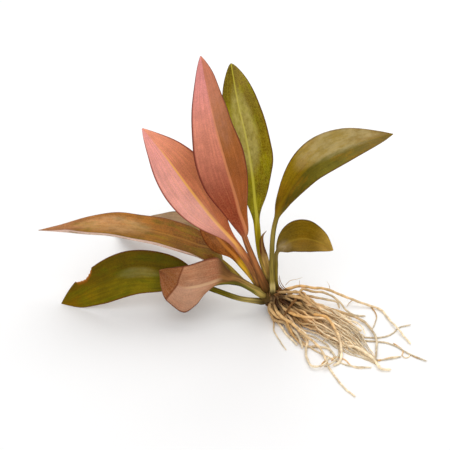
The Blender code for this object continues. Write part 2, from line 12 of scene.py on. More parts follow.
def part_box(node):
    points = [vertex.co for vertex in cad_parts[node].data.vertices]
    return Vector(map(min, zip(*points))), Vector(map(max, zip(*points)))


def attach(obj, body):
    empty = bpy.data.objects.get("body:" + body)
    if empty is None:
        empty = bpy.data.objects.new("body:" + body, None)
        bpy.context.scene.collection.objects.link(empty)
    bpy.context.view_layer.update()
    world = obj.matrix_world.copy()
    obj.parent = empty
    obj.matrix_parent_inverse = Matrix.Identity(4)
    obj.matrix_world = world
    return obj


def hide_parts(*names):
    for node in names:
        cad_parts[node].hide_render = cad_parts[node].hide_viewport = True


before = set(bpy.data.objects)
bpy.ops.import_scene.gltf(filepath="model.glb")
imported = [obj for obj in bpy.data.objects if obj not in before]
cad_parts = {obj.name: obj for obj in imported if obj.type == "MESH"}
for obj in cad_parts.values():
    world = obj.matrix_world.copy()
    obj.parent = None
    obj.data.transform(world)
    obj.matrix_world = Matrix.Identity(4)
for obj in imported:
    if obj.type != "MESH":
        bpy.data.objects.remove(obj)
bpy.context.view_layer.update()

MM = 0.001
# Places are in millimetres from a zero point in the crown, unless a comment says otherwise. From
# there the box of the solid crown starts at CROWN_LOW, and the table is at FLOOR.
CROWN_LOW = (-5.509, -5.277, -7.428)
FLOOR = -10.0
# The camera: its angle above the table in degrees, its distance in millimetres and its lens. A pixel
# of the photo is PIXEL millimetres wide, and the crown is at CROWN_PIXEL.
CAMERA_ELEVATION = 35.0
CAMERA_DISTANCE = 900.0
CAMERA_LENS = 144.0
PIXEL = 0.5
CROWN_PIXEL = (270.0, 292.0)
PICTURE_MIDDLE = 225.0
# The white table, the light from all round, and two lamps: place, width and power. They and the
# table are measured in metres.
TABLE_SIZE = 8
TABLE_PAINT = {"Base Color": (0.9, 0.9, 0.9, 1), "Roughness": 0.9, "Specular IOR Level": 0.1}
SKY_STRENGTH = 0.49
LIGHTS = {
    "key": ((0.10, 0.34, 0.64), 0.68, 3.5),
    "fill": ((-0.10, -0.60, 0.70), 0.9, 3.6)}

# The crown's axis points to the right and CROWN_TILT degrees down.
CROWN_MIDDLE = (1.5, -0.5, -2.4)
CROWN_HALF_LENGTH = 7.9
CROWN_RADIUS = 5.2
CROWN_TILT = 32.0
# How many corners each kind of skin has around it and along it.
CROWN_AROUND = 64
CROWN_ALONG = 48
LEAF_AROUND = 72
LEAF_ALONG = 190
ROOT_AROUND = 12
HAIR_AROUND = 7
# The distance between two rings of a root, and how deep its start is in the crown.
ROOT_STEP = 0.75
ROOT_BURIED = 2.8
# Corners of a skin that are nearer than this, in metres, become one.
SEAM = 0.000003
CURVE_SAMPLES = 900

# The section of a leaf: half the blade's thickness, how flat the petiole is, how far the midrib
# stands out below and how wide it is, and how round the fold over the midrib is.
LEAF_HALF_THICKNESS = 0.27
PETIOLE_FLATNESS = 0.86
RIB_DEPTH = 0.95
RIB_WIDTH = 0.95
FOLD_ROUND = 1.1
# How deep a petiole starts in the crown, how much wider its foot is, and up to which share of the
# leaf's length.
BURIED = 3.2
FOOT_WIDENING = 0.35
FOOT_REACH = 0.09
# Half the gap between two veins and between two of the finest, as shares of half a blade's width.
VEIN_HALF_GAP = 0.145
FINE_VEIN_HALF_GAP = 0.03

# Where along a blade its widths are set, from its base (0) to its tip (1).
STATIONS = (0, 0.07, 0.17, 0.28, 0.4, 0.6, 0.8, 0.93, 1)

# A leaf's rows run from the crown to its tip: x, y, z, then its turn and its fold in degrees.
# "faces" is the way its upper face looks. "blade" is the share of the leaf at which the blade starts,
# "half" its greatest half width and "widest" where along the blade that is. "blunt" shapes its base
# and its tip, and "stalk" is the petiole's half width at the crown and at the blade. "wave" is how
# far the margins ripple. "far" and "near" widen or narrow the two halves at the stations: far is the
# half on the negative side of the midrib, near the other. "lip" is where the far half starts to curl
# up and how high, "tear" where the notch starts and ends and how deep it is, and "rolled" stays round.
LEAVES = {
    "leaf_tall_pink": {
        "rows": [
            (-2.5, -3.4, 5.2, 10, 20), (-7.4, -4.5, 20, 14, 24), (-12.7, -6, 37, 18, 26),
            (-17.3, -8, 61, 20, 24), (-22, -10, 81, 19, 20), (-27.5, -12, 107, 19, 19),
            (-31.5, -13, 129, 19, 19), (-33.5, -13, 142.5, 15, 15)],
        "faces": (0, 0.82, -0.57), "blade": 0.25, "half": 14.2, "widest": 0.38,
        "blunt": (0.85, 0.75), "stalk": (1.9, 1.45), "wave": 0.3,
        "far": (0.4, 0.45, 0.7, 0.9, 0.92, 0.84, 0.95, 1.2, 1),
        "near": (0.4, 0.55, 0.74, 0.9, 0.97, 1, 1, 0.85, 0.9)},
    "leaf_left_pink": {
        "rows": [
            (-4.8, -1.6, 4.6, 0, 12), (-10, -2.5, 18, 0, 12), (-17, -3, 31, 6, 20),
            (-29.5, -2, 47.5, 6, 16), (-40.5, 0, 63.5, 5, 12), (-52.5, 2, 82, 6, 12),
            (-61.5, 3, 94.3, 6, 12)],
        "faces": (0, 0.82, -0.57), "blade": 0.24, "half": 12.4, "widest": 0.52,
        "blunt": (1, 0.85), "stalk": (1.7, 2), "wave": 0.3,
        "far": (0.3, 0.4, 0.75, 1.05, 1.15, 1.17, 1.14, 1, 1),
        "near": (0.4, 0.5, 0.76, 0.92, 0.98, 0.98, 0.98, 1, 1)},
    "leaf_left_brown": {
        "rows": [
            (-6.2, 2.1, 3.3, 0, 8), (-11.5, 2.2, 11.8, 0, 10), (-17.5, 3.4, 19.6, 0, 12),
            (-24.5, 5.4, 27.2, 0, 14), (-31, 9.6, 34.8, 0, 20), (-36, 14, 43.4, 0, 24)],
        "faces": (0, 0.82, -0.57), "blade": 0.32, "half": 7, "widest": 0.42,
        "blunt": (1, 0.9), "stalk": (1.5, 1.9), "wave": 0.2,
        "near": (0.3, 0.35, 0.55, 0.8, 0.95, 1, 1, 1, 1)},
    "leaf_long_left": {
        "rows": [
            (-6.6, -0.4, 0.2, 0, 6), (-13.5, 2.8, 4.7, 0, 6), (-22, 9.6, 9.6, 0, 6),
            (-33.5, 11, 19.5, 2, 3), (-47, 12, 25, 2, 3), (-62, 11.5, 30, 0, 3),
            (-79, 10, 34.2, 0, 3), (-96.5, 9, 33.8, 0, 3), (-114.5, 8, 32.2, 0, 3)],
        "faces": (0, 0, 1), "blade": 0.20, "half": 12.4, "widest": 0.38,
        "blunt": (0.8, 1), "stalk": (1.3, 1.6), "wave": 0.3, "lip": (0.80, 1.9),
        "far": (1.2, 1.3, 1.42, 1.32, 1.24, 1.3, 1.45, 1.5, 1),
        "near": (1, 1.1, 1.22, 1.15, 1.03, 0.98, 0.93, 0.85, 1)},
    "leaf_torn": {
        "rows": [
            (-4.6, -3.2, -3.4, 0, 8), (-15, -3.5, -1.4, 0, 8), (-26.5, -1.5, 1.9, 0, 8),
            (-40, 2, 5.4, 0, 8), (-55, 4, 7.4, 0, 8), (-70, 5, 7.2, 0, 8),
            (-87.5, 4.5, 0.8, 0, 6), (-105, 3.4, -9.9, 0, 4)],
        "faces": (0, -0.75, 0.66), "blade": 0.26, "half": 11.9, "widest": 0.52,
        "blunt": (0.95, 0.85), "stalk": (1.3, 1.4), "wave": 0.25,
        "tear": (0.795, 0.885, 4.4),
        "far": (1, 1, 0.95, 0.9, 0.87, 0.95, 1.17, 1.5, 1.2),
        "near": (1.4, 1.45, 1.45, 1.24, 1.06, 0.95, 0.92, 1.03, 1)},
    "leaf_green": {
        "rows": [
            (-0.9, 2, 6.2, 0, 12), (-4.7, 4, 18.7, 0, 12), (-7, 6, 38.5, 15, 20),
            (-9.4, 9, 64, 24, 25), (-12.4, 13, 82.7, 22, 22), (-16.3, 17, 99.5, 20, 20),
            (-19.7, 21, 119.2, 16, 16)],
        "faces": (0, -0.82, 0.57), "blade": 0.27, "half": 12.6, "widest": 0.53,
        "blunt": (1.1, 0.62), "stalk": (1.4, 1.6), "wave": 0.5,
        "far": (0.9, 0.9, 0.95, 1, 1, 1, 1.06, 1.1, 0.8),
        "near": (0.95, 0.95, 0.95, 0.95, 1, 0.87, 1, 1.05, 0.85)},
    "leaf_right": {
        "rows": [
            (1.1, -3.6, 3.9, 0, 14), (0.5, -2.5, 20.5, 0, 14), (1.7, 0, 41, -10, 25),
            (7, 4, 55.2, -8, 42), (18.5, 8, 70, -16, 34), (35, 11, 79, -16, 28),
            (58, 13, 85, -10, 16)],
        "faces": (0, -0.82, 0.57), "blade": 0.345, "half": 11.9, "widest": 0.54,
        "blunt": (1.15, 0.95), "stalk": (1.3, 1.2), "wave": 0.2,
        "far": (1.5, 1.4, 1.12, 0.97, 0.93, 0.92, 0.87, 0.85, 1),
        "near": (1.7, 1.6, 1.35, 1.16, 1.04, 0.98, 0.9, 0.9, 1)},
    "leaf_small": {
        "rows": [
            (2.9, -1.4, 4.4, 0, 6), (2.8, 0.8, 15.4, 0, 6), (3.3, 3, 22.5, -10, 10),
            (8.8, 5, 26.9, -25, 25), (16, 6, 28.4, -25, 25), (24.3, 7, 25.4, -25, 25),
            (31.4, 8, 20, -20, 20)],
        "faces": (0, -0.82, 0.57), "blade": 0.37, "half": 10.1, "widest": 0.45,
        "blunt": (1, 0.9), "stalk": (1, 1), "wave": 0.15,
        "far": (0.9, 0.9, 0.95, 0.98, 0.98, 0.93, 0.88, 0.86, 1),
        "near": (0.9, 0.92, 0.98, 1, 0.97, 0.9, 0.83, 0.83, 1)},
    "leaf_back": {
        "rows": [
            (-4.2, 4.4, 2, 0, 8), (-10, 12, 7, 0, 8), (-19, 22, 11.5, 0, 10),
            (-34, 34, 13.5, 0, 12), (-52.5, 47, 9, 0, 12), (-70, 58, 0, 0, 10),
            (-81, 66, -9.6, 0, 6)],
        "faces": (0, 0, 1), "blade": 0.32, "half": 9.5, "widest": 0.42,
        "blunt": (1, 0.9), "stalk": (1.2, 1.4), "wave": 0.3},
    "spear": {
        "rows": [
            (0.4, -0.9, 6.8, 0, 0), (-2.3, -0.4, 19, 0, 0), (-4.4, 0.6, 28.5, 0, 0),
            (-4.1, 1.6, 33.2, 0, 0), (-2.2, 2, 36, 0, 0)],
        "faces": (0, -1, 0.2), "blade": 0.1, "half": 1.7, "widest": 0.42,
        "blunt": (1, 1), "stalk": (1.2, 0.8), "wave": 0, "rolled": True},
}

# The folded leaf: its petiole's middle line with half widths, then rows of its midrib, back edge
# and front edge.
FOLDED_STALK = [
    (-4.2, -5.4, 2.8, 2.1), (-9, -6.3, 7.1, 2), (-14.1, -7.3, 11.4, 2.2), (-18, -8.4, 14, 2.8)]
FOLDED_ROWS = [
    (-20.5, -9.2, 14, -20, -5.6, 17.2, -21.5, -10.6, 12.6),
    (-24.5, -10, 14.6, -25, -4.5, 23.6, -27.5, -11.5, 12.2),
    (-31, -11.5, 13.3, -30, -4.5, 24.2, -32.5, -13.5, 8.5),
    (-37, -12, 12.2, -35, -4.5, 22.2, -37, -15, 3),
    (-43, -12, 12, -42, -4.5, 19.5, -43.5, -16.5, 0),
    (-47, -9.5, 13, -47, -3.5, 18, -51, -14, 5),
    (-51, -5, 14, -51.5, -2, 16.3, -54, -9, 9),
    (-54.5, -1.8, 14, -54.5, -1, 14.6, -54.8, -3, 13.4)]
FOLDED_TIP = (-55.3, -1.2, 14)
# The crease of the folded leaf: where it crosses the midrib, its slant, its height and its width.
CREASE = (0.60, 0.07, 0.9, 0.05)
# How round the leaf is folded over its midrib, as a share of half the blade, how far its two panels
# bulge, how much its margins ripple and how thick it counts as at most.
FOLDED_ROUND = 0.07
FOLDED_BULGE = 0.9
FOLDED_WAVE = 0.35
FOLDED_THICK = 1.6
# How the colours of a face are laid out. The base's colours give way to the middle's between Base
# Start and Base End, and the tip's take over between Tip Start and Tip End, as shares of the blade.
# Tip Slant tilts that second change across the blade, and Crease Shadow Strength draws a painted shadow
# line of the margin's colour at its end. Half Blend is how softly the two halves meet. Rib Strength is
# how clear the midrib is, and Rib End where it has faded. Mottling is how uneven the colours are, and
# Blotch Strength how clear the blotches. On the petiole the foot's colour ends at Foot End and the
# darkest part at Foot Dark, in millimetres, and Green Strength is how green the side of the near half
# is.
FACE_LAYOUT = {
    "Seed": 0.0, "Base Start": 0.02, "Base End": 0.42, "Tip Start": 0.55, "Tip End": 1.0,
    "Tip Slant": 0.0, "Crease Shadow Strength": 0.0, "Half Blend": 0.08, "Rib Strength": 0.8, "Rib End": 1.4,
    "Mottling": 0.5, "Blotch Strength": 0.0, "Foot End": 19.0, "Foot Dark": 6.0, "Green Strength": 0.0}
# What is different from that on some leaves.
LEAF_LAYOUTS = {
    "leaf_tall_pink": {
        "Base Start": 0.17, "Base End": 0.72, "Rib Strength": 0.6, "Rib End": 0.85, "Mottling": 0.42},
    "leaf_left_pink": {"Rib Strength": 0.9, "Rib End": 0.95, "Mottling": 0.42},
    "leaf_left_brown": {"Mottling": 0.9, "Blotch Strength": 0.5},
    "leaf_long_left": {
        "Base End": 0.62, "Rib Strength": 0.35, "Half Blend": 0.25, "Mottling": 0.95,
        "Blotch Strength": 0.75},
    "leaf_torn": {
        "Rib Strength": 0.3, "Half Blend": 0.45, "Mottling": 0.7, "Blotch Strength": 0.4},
    "leaf_green": {"Rib Strength": 0.9, "Mottling": 0.7, "Blotch Strength": 0.6},
    "leaf_right": {
        "Foot End": 6, "Foot Dark": 2, "Rib Strength": 0.5, "Mottling": 0.6,
        "Blotch Strength": 0.45},
    "leaf_small": {"Rib Strength": 0.35, "Mottling": 0.6, "Blotch Strength": 0.3},
    "leaf_folded": {
        # The tip colours and crease line set here are painted shade and a painted shadow line at the
        # crease.
        "Tip Start": 0.595, "Tip End": 0.615, "Tip Slant": CREASE[1], "Crease Shadow Strength": 0.6,
        "Rib End": 0.62, "Foot End": 25, "Green Strength": 0.8, "Blotch Strength": 0.3},
    "spear": {"Tip Start": 0.35, "Tip End": 0.6},
}
# The colour of the blotches on each leaf.
BLOTCHES = {
    "leaf_left_brown": (112, 52, 20), "leaf_long_left": (114, 88, 0), "leaf_torn": (88, 96, 0),
    "leaf_green": (146, 138, 0), "leaf_right": (150, 104, 16), "leaf_small": (124, 84, 8),
    "leaf_folded": (150, 90, 62)}
# The rim of the tear: how wide it is, and its dry brown with a pale edge.
TORN_RIM = 2.4
TORN_BROWN = (140, 82, 10)
TORN_PALE = (186, 124, 66)
# The dark brown of a petiole's very end, where it joins the crown.
FOOT_DARK = (64, 44, 10)
# The green of the near side of the folded leaf's petiole.
PETIOLE_GREEN = (98, 98, 26)

# The upper face that both pink leaves have, without its petiole.
PINK_UPPER = (
    (98, 84, 20), (120, 100, 34), (136, 88, 50), (98, 84, 20), (126, 92, 34), (136, 88, 50),
    (166, 140, 60), (104, 50, 30))
# The colours of each leaf's two faces, as eight-bit screen colours: the far half's base, middle
# and tip, the near half's, the midrib, the margin, the petiole's top and its foot. Where the two
# halves are alike, their three colours are given once.
FACES = {
    "leaf_tall_pink": {
        "upper": (*PINK_UPPER, (158, 90, 52), (112, 72, 38)),
        # The under face's paler pink near half, orange-brown far half and darkest near base are painted
        # light and painted shade over the leaf's own pink-red.
        "under": ((156, 80, 28), (168, 102, 50), (216, 132, 104), (138, 58, 34), (224, 140, 116),
                  (226, 144, 142), (226, 144, 96), (106, 34, 24), (156, 96, 54), (126, 80, 40))},
    "leaf_left_pink": {
        "upper": (*PINK_UPPER, (184, 116, 70), (150, 104, 52)),
        "under": ((184, 92, 48), (216, 128, 92), (246, 158, 130), (184, 112, 92), (234, 160, 148),
                  (244, 160, 154), (252, 184, 96), (140, 56, 42), (184, 116, 70), (150, 104, 52))},
    "leaf_left_brown": {
        "upper": ((98, 84, 20), (120, 96, 30), (136, 88, 50), (166, 130, 60), (104, 50, 30),
                  (230, 180, 42), (200, 154, 60)),
        "under": ((170, 94, 30), (162, 92, 46), (156, 88, 54), (164, 96, 30), (156, 90, 46),
                  (156, 88, 54), (220, 138, 56), (112, 42, 18), (226, 178, 42), (224, 176, 62))},
    "leaf_long_left": {
        "upper": ((102, 54, 0), (134, 88, 24), (148, 98, 70), (98, 48, 0), (160, 100, 34),
                  (154, 104, 74), (168, 118, 50), (116, 54, 30), (140, 116, 40), (130, 108, 38)),
        "under": ((190, 140, 112), (224, 196, 182), (214, 176, 158), (180, 134, 110),
                  (214, 190, 178), (206, 170, 152), (220, 180, 150), (222, 190, 174),
                  (140, 116, 40), (130, 108, 38))},
    "leaf_torn": {
        "upper": ((90, 92, 0), (118, 102, 4), (116, 84, 0), (74, 64, 0), (94, 74, 0), (108, 78, 0),
                  (108, 98, 10), (106, 62, 16), (110, 98, 18), (184, 162, 92)),
        "under": ((130, 96, 44), (140, 104, 56), (140, 100, 56), (160, 130, 70), (140, 92, 36),
                  (104, 92, 18), (176, 156, 96))},
    "leaf_green": {
        "upper": ((112, 104, 0), (134, 112, 0), (106, 84, 12), (106, 90, 0), (120, 96, 0),
                  (134, 110, 46), (208, 196, 66), (100, 66, 20), (176, 156, 24), (232, 198, 106)),
        "under": ((140, 110, 40), (150, 116, 60), (150, 104, 60), (180, 156, 84), (112, 76, 36),
                  (170, 150, 20), (226, 188, 98))},
    "leaf_right": {
        "upper": ((98, 70, 0), (150, 120, 14), (128, 100, 48), (84, 74, 24), (100, 92, 28),
                  (116, 94, 48), (134, 108, 4), (90, 56, 22), (138, 120, 54), (188, 168, 106)),
        "under": ((130, 96, 40), (150, 110, 60), (150, 106, 66), (176, 142, 80), (96, 64, 34),
                  (138, 120, 54), (188, 168, 106))},
    "leaf_small": {
        "upper": ((106, 86, 30), (112, 84, 0), (204, 164, 74), (116, 96, 54), (110, 80, 0),
                  (186, 146, 66), (156, 128, 40), (84, 56, 20), (140, 122, 50), (142, 122, 42)),
        "under": ((130, 96, 40), (150, 110, 60), (150, 106, 66), (176, 142, 80), (96, 64, 30),
                  (140, 122, 50), (142, 122, 42))},
    "leaf_back": {
        "upper": ((104, 90, 30), (152, 122, 88), (120, 100, 50), (104, 90, 30), (156, 124, 94),
                  (120, 100, 50), (150, 130, 70), (96, 76, 44), (120, 104, 34), (110, 96, 34)),
        "under": ((130, 100, 60), (150, 110, 76), (150, 106, 70), (176, 140, 90), (100, 76, 44),
                  (120, 104, 34), (110, 96, 34))},
    "leaf_folded": {
        # The darker tip colours of this face are painted shade on the flap beyond the crease.
        "upper": ((158, 100, 70), (172, 118, 86), (144, 86, 44), (158, 108, 74), (184, 134, 106),
                  (140, 82, 44), (212, 170, 130), (104, 50, 32), (132, 90, 50), (178, 154, 80)),
        "under": ((120, 96, 44), (124, 100, 50), (130, 92, 50), (160, 126, 70), (120, 66, 44),
                  (126, 82, 42), (172, 142, 66))},
    "spear": dict.fromkeys(("upper", "under"), (
        (210, 172, 92), (210, 172, 92), (96, 52, 24), (150, 112, 56), (96, 52, 24), (234, 198, 110),
        (238, 202, 114))),
}
# The wet film on a leaf: where its middle is across and along, how far it reaches both ways, how strong
# its painted sheen is, and the pale colour of that painted highlight, which is mixed into the leaf's
# colour where the film lies.
FILMS_AND_PAINTED_SHEEN = {
    "leaf_tall_pink": (-0.4, 0.7, 0.6, 0.25, 0.12, (230, 160, 145)),
    "leaf_left_pink": (0.4, 0.3, 0.7, 0.25, 0.25, (235, 176, 160)),
    "leaf_left_brown": (0, 0.5, 0.7, 0.3, 0.1, (200, 140, 90)),
    "leaf_long_left": (0.1, 0.62, 0.75, 0.24, 0.42, (214, 162, 104)),
    "leaf_torn": (0.05, 0.45, 0.3, 0.16, 0.2, (168, 160, 80)),
    "leaf_green": (-0.02, 0.6, 0.68, 0.32, 0.62, (218, 202, 116)),
    "leaf_right": (-0.45, 0.66, 0.85, 0.34, 0.5, (214, 194, 140)),
    "leaf_small": (0.2, 0.04, 0.9, 0.24, 0.5, (160, 140, 104)),
    "leaf_back": (0, 0.5, 0.8, 0.3, 0.2, (150, 130, 100)),
    "leaf_folded": (0.3, 0.35, 0.8, 0.3, 0.2, (196, 156, 128)),
    "spear": (0, 0.5, 0.8, 0.3, 0, (166, 132, 66)),
}
FACE_PARTS = (
    "Far Base", "Far Middle", "Far Tip", "Near Base", "Near Middle", "Near Tip", "Midrib", "Margin",
    "Petiole", "Foot")
FILM_PARTS = ("Across", "Along", "Reach Across", "Reach Along", "Seed")
# How rough a dry leaf is and how much its grain adds, how the film makes it smooth and glossy, how
# all leaves shine, and how strong and deep their relief is, in metres.
DRY_ROUGHNESS = 0.40
GRAIN_ROUGHNESS = 0.2
FILM_SMOOTHING = 0.15
FILM_COAT = 0.22
LEAF_SHINE = {
    "Coat Roughness": 0.28, "Specular IOR Level": 0.12, "Specular Tint": (1.0, 0.86, 0.45, 1)}
LEAF_RELIEF = (0.35, 0.00012)
# The colours of each skin of the roots and the crown, and the depth of its relief in metres. The dark
# Start of the roots, and the crown's dark Middle and Tip towards its root end, are partly their own dark
# brown and partly painted shade where the roots crowd round the crown.
ROOT_PARTS = ("Start", "Middle", "Tip", "Dirt")
ROOT_SKINS = {
    "root_skin": ((60, 32, 8), (226, 184, 126), (252, 234, 200), (136, 84, 34), 0.00012),
    "hair_root_skin": ((60, 32, 8), (222, 174, 110), (252, 234, 200), (142, 92, 42), 0.00005),
    "fibre_skin": ((120, 80, 42), (154, 106, 58), (130, 88, 48), (70, 42, 16), 0.00005),
    "crown_skin": ((120, 96, 34), (70, 42, 10), (46, 26, 8), (36, 20, 6), 0.0006)}
# How all of them shine, and how strong their relief is.
ROOT_SHINE = {"Specular IOR Level": 0.2, "Specular Tint": (1.0, 0.88, 0.7, 1)}
ROOT_RELIEF = 0.5
BLACK = (0, 0, 0, 1)

# Hair roots: the radius at the start and at the tip, then the route.
HAIR_ROUTES = [
    (0.36, 0.26, [(50.6, 1.2, -9.4), (53.1, -5.6, -9.6), (52.1, -12.8, -9.6), (50.2, -18.4, -9.6)]),
    (0.32, 0.22, [(59.8, -28.7, -9.6), (62.5, -31.8, -9.6), (64.2, -35.7, -9.6), (63.5, -38, -9.6),
                  (64.8, -39.9, -9.6), (66.8, -39.1, -9.6), (67, -36.8, -9.6), (65.6, -35.3, -9.6)]),
    (0.30, 0.18, [(66.5, -36.8, -9.6), (68.8, -38.8, -9.6), (72, -41, -9.6), (75.7, -42.6, -9.6)]),
    (0.36, 0.20, [(28.8, -42.6, -9.5), (31.3, -39.5, -9.5), (35.6, -41.8, -9.6), (38.7, -46.4, -9.6),
                  (42.5, -47.9, -9.6), (48.3, -47.1, -9.6)]),
    (0.36, 0.22, [(23.3, -47.1, -9.5), (25.4, -43.3, -9.5), (28.4, -40.7, -9.5), (31.8, -40.3, -9.6)]),
    (0.24, 0.14, [(42.2, 4.7, -8.4), (40, 2.7, -9.2), (38.6, 0.2, -9.6)]),
    (0.40, 0.24, [(51, -42.6, -9.5), (55, -41, -9.6), (59.5, -39.5, -9.6), (63.4, -38.8, -9.6)]),
    (0.24, 0.14, [(25, -28.7, -9), (26.6, -27.5, -8.6), (27.5, -28.7, -9)]),
    (0.80, 0.40, [(8, -10.5, -3.6), (12, -14.3, -3.2), (15.5, -16.2, -3), (20.5, -17, -3),
                  (26.2, -16.8, -3.6), (31, -18.2, -5.4), (37, -22, -7.6)]),
    (0.62, 0.45, [(10, -6, -1.5), (16, -7, -2.2), (23, -8.6, -3), (31, -11.5, -5)]),
    (0.58, 0.40, [(8, -9, -3.6), (14, -10.8, -3.4), (21, -12, -4.2), (28, -17, -6)]),
    (0.70, 0.66, [(21, -13.4, -3.6), (27, -16.6, -2.8), (31, -23.4, -3.7), (33.5, -31.6, -5.9),
                  (34, -38.8, -8.2), (32.6, -43.8, -9.3), (29.6, -46.6, -9.3)]),
    (0.62, 0.50, [(7, -13.4, -5.4), (9.4, -20.5, -7), (12.6, -27.4, -8.6), (17.2, -31.6, -9.2),
                  (22.4, -31.8, -9.3), (27.4, -33.2, -9.3), (30.2, -37, -9.4), (30.8, -41, -9.4)]),
    (0.17, 0.09, [(7.4, 0, 3.8), (8.4, 0, 5.3), (9.9, 0.2, 6.9), (13.3, 0.4, 7.8), (16.3, 0.8, 8.4)]),
    (0.14, 0.09, [(14.6, 3, 0), (14.8, 3, 3.4), (14.5, 3, 5.6)]),
    (0.14, 0.07, [(30.2, 4, -1.4), (29.4, 4, 2), (28.1, 4, 3.9)]),
]
# Dry brown fibres of shed leaf bases, which hug the crown and the petioles' feet.
FIBRE_ROUTES = [
    (0.62, 0.50, [(13.2, -7.9, 2), (10.5, -10.7, 0.5), (8, -14, -1.6), (6.4, -15.7, -3.2)]),
    (0.30, 0.10, [(10.2, 0.4, 0.4), (7.4, 0.4, 2.2), (5.4, 0.2, 5.6), (4.4, 0, 11)]),
    (0.28, 0.10, [(8.6, 0.2, 0.6), (6.3, 0.2, 2.3), (4.8, 0, 5.2), (4.1, -0.2, 9.6)]),
    (0.28, 0.10, [(7.2, 0, 0.8), (5.5, 0, 2), (4.3, -0.2, 4.2), (3.8, -0.4, 8)]),
    (0.30, 0.12, [(8.2, -0.6, 0.6), (6.4, -0.8, 1.8), (4.8, -1.2, 3), (4, -1.6, 5)]),
    (0.28, 0.10, [(-1.6, -4, -0.8), (-1.4, -4.6, 2.2), (-2, -4.9, 5.4), (-3, -5, 8)]),
    (0.26, 0.08, [(-0.4, -4.4, -1), (-0.2, -4.9, 1.8), (-0.6, -5.2, 4.6)]),
    (0.30, 0.12, [(3.6, -4.4, -2), (3.9, -4.9, 0.6), (3.7, -4.9, 3.2)]),
]
# The short fibres round the crown: how many, their radii and how far each one twists round it.
CROWN_FIBRE_COUNT = 34
CROWN_FIBRE_RADIUS = (0.42, 0.22)
CROWN_FIBRE_TWIST = 0.7
# How far each kind strays from its route, in millimetres.
ROOT_BEND = 0.16
FAN_BEND = 0.5
STRAND_BEND = 0.3
HAIR_BEND = 0.14
FIBRE_BEND = 0.12
CROWN_FIBRE_BEND = 0.16
# The share by which each root's tone moves on from the one before, so that neighbours differ.
TONE_STEP = 0.618
# How much of its solid's thickness a root has at the crown and at its tip, in the fan and elsewhere.
FAN_THINNER = (0.92, 0.5)
ROOT_THINNER = (1, 0.84)
# The finest strands of the fan: how many, their radii, how far they sway to the right and back, how high
# they are heaped at the crown and how far they are dark, a dark start that is partly painted shade. They
# run between the fan's back edge and its front edge.
STRAND_COUNT = 96
STRAND_RADIUS = (0.34, 0.14)
STRAND_SWAY = (2.2, 2.6)
STRAND_HEIGHT = 3.0
STRAND_DARK = 4.0
STRAND_BACK = [
    (7, 0.4, -3.6), (18, -2.4, -4.6), (28, -7.4, -6.6), (36, -14, -8.2), (43, -24.5, -9.4),
    (47, -33.5, -9.5), (52, -44, -9.5)]
STRAND_FRONT = [
    (5, -5, -5), (12, -9.5, -6.5), (17, -14, -8), (25, -21, -9), (32.5, -29.5, -9.4),
    (40, -36.5, -9.5), (47, -41, -9.5), (53, -46.5, -9.5)]
# How far along its own length a root stays as dark as the crown, in millimetres. A root with less than
# zero is paler from its start on, and one with NO_DARK has no dark start. That dark start is partly the
# root's own dark brown and partly painted shade where the roots crowd round the crown.
DARK_REACH = {"root_fan": 6, "root_bundle": 4, "root_": -4}
NO_DARK = -8.0
# A root of the fan that starts beyond FAR_START, on the crown's far side, has FAR_DARK instead.
FAR_START = 0.0
FAR_DARK = -4.0
# Where the two top roots leave the crown before they join the routes of the solids.
TOP_STARTS = {
    "root_top_long": [(4, -0.6, -0.4), (6.5, 0.6, 0.5), (10, 2, 0.8)],
    "root_top_short": [(3, -1.6, 0.6), (5, -2.4, 1.7), (9.5, -2.2, 1.5), (14.5, -1.2, 0.9)]}
# Outside the fan, a root whose solid starts nearer than CLIMB_FRONT starts by CLIMB_TOP, close to the
# leaves, and runs down over the crown's skin through points at CLIMB_SHARES of the way up. These are how
# far apart such roots start, how deep in the crown, how thick and how much darker they are, that extra
# darkness being partly painted shade.
CLIMB_FRONT = -2.0
CLIMB_TOP = (0.8, -4.5, 2)
CLIMB_SHARES = (0.75, 0.5, 0.25)
CLIMB_APART = 0.5
CLIMB_SINK = 0.4
CLIMB_THINNER = (0.5, 0.62, 0.74, 0.86)
CLIMB_DARKER = 6.0


def shift():
    """Where the zero point of all places is in the frame, in millimetres."""
    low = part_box("crown")[0]
    return np.array([low[axis] / MM - CROWN_LOW[axis] for axis in range(3)])


CROWN = shift()
CROWN_TURN = np.array(Matrix.Rotation(math.radians(90 + CROWN_TILT), 3, "Y"))


def scattered(number, step, start=0):
    """Shares between 0 and 1 that lie well apart for numbers that follow each other."""
    return (number * step + start) % 1


def colour(red, green, blue):
    """A screen colour as the linear colour that a shader takes."""
    parts = []
    for value in (red, green, blue):
        value /= 255.0
        parts.append(value / 12.92 if value <= 0.04045 else ((value + 0.055) / 1.055) ** 2.4)
    return (*parts, 1.0)


def smooth_rows(rows, shares):
    """Reads a smooth curve through rows of numbers at shares of its length in space."""
    table = np.array(rows, dtype=float)
    steps = np.linalg.norm(np.diff(table[:, :3], axis=0), axis=1)
    knots = np.concatenate(([0.0], np.cumsum(np.sqrt(steps))))
    slopes = np.gradient(table, knots, axis=0)
    fine = np.linspace(0.0, knots[-1], CURVE_SAMPLES)
    place = np.clip(np.searchsorted(knots, fine, side="right") - 1, 0, len(knots) - 2)
    span = (knots[place + 1] - knots[place])[:, None]
    part = ((fine - knots[place])[:, None]) / span
    curve = (
        (2 * part**3 - 3 * part**2 + 1) * table[place]
        + (part**3 - 2 * part**2 + part) * span * slopes[place]
        + (3 * part**2 - 2 * part**3) * table[place + 1]
        + (part**3 - part**2) * span * slopes[place + 1]
    )
    moves = np.linalg.norm(np.diff(curve[:, :3], axis=0), axis=1)
    travel = np.concatenate(([0.0], np.cumsum(moves)))
    wanted = np.clip(np.asarray(shares), 0, 1) * travel[-1]
    columns = [np.interp(wanted, travel, curve[:, column]) for column in range(curve.shape[1])]
    return np.stack(columns, axis=1)


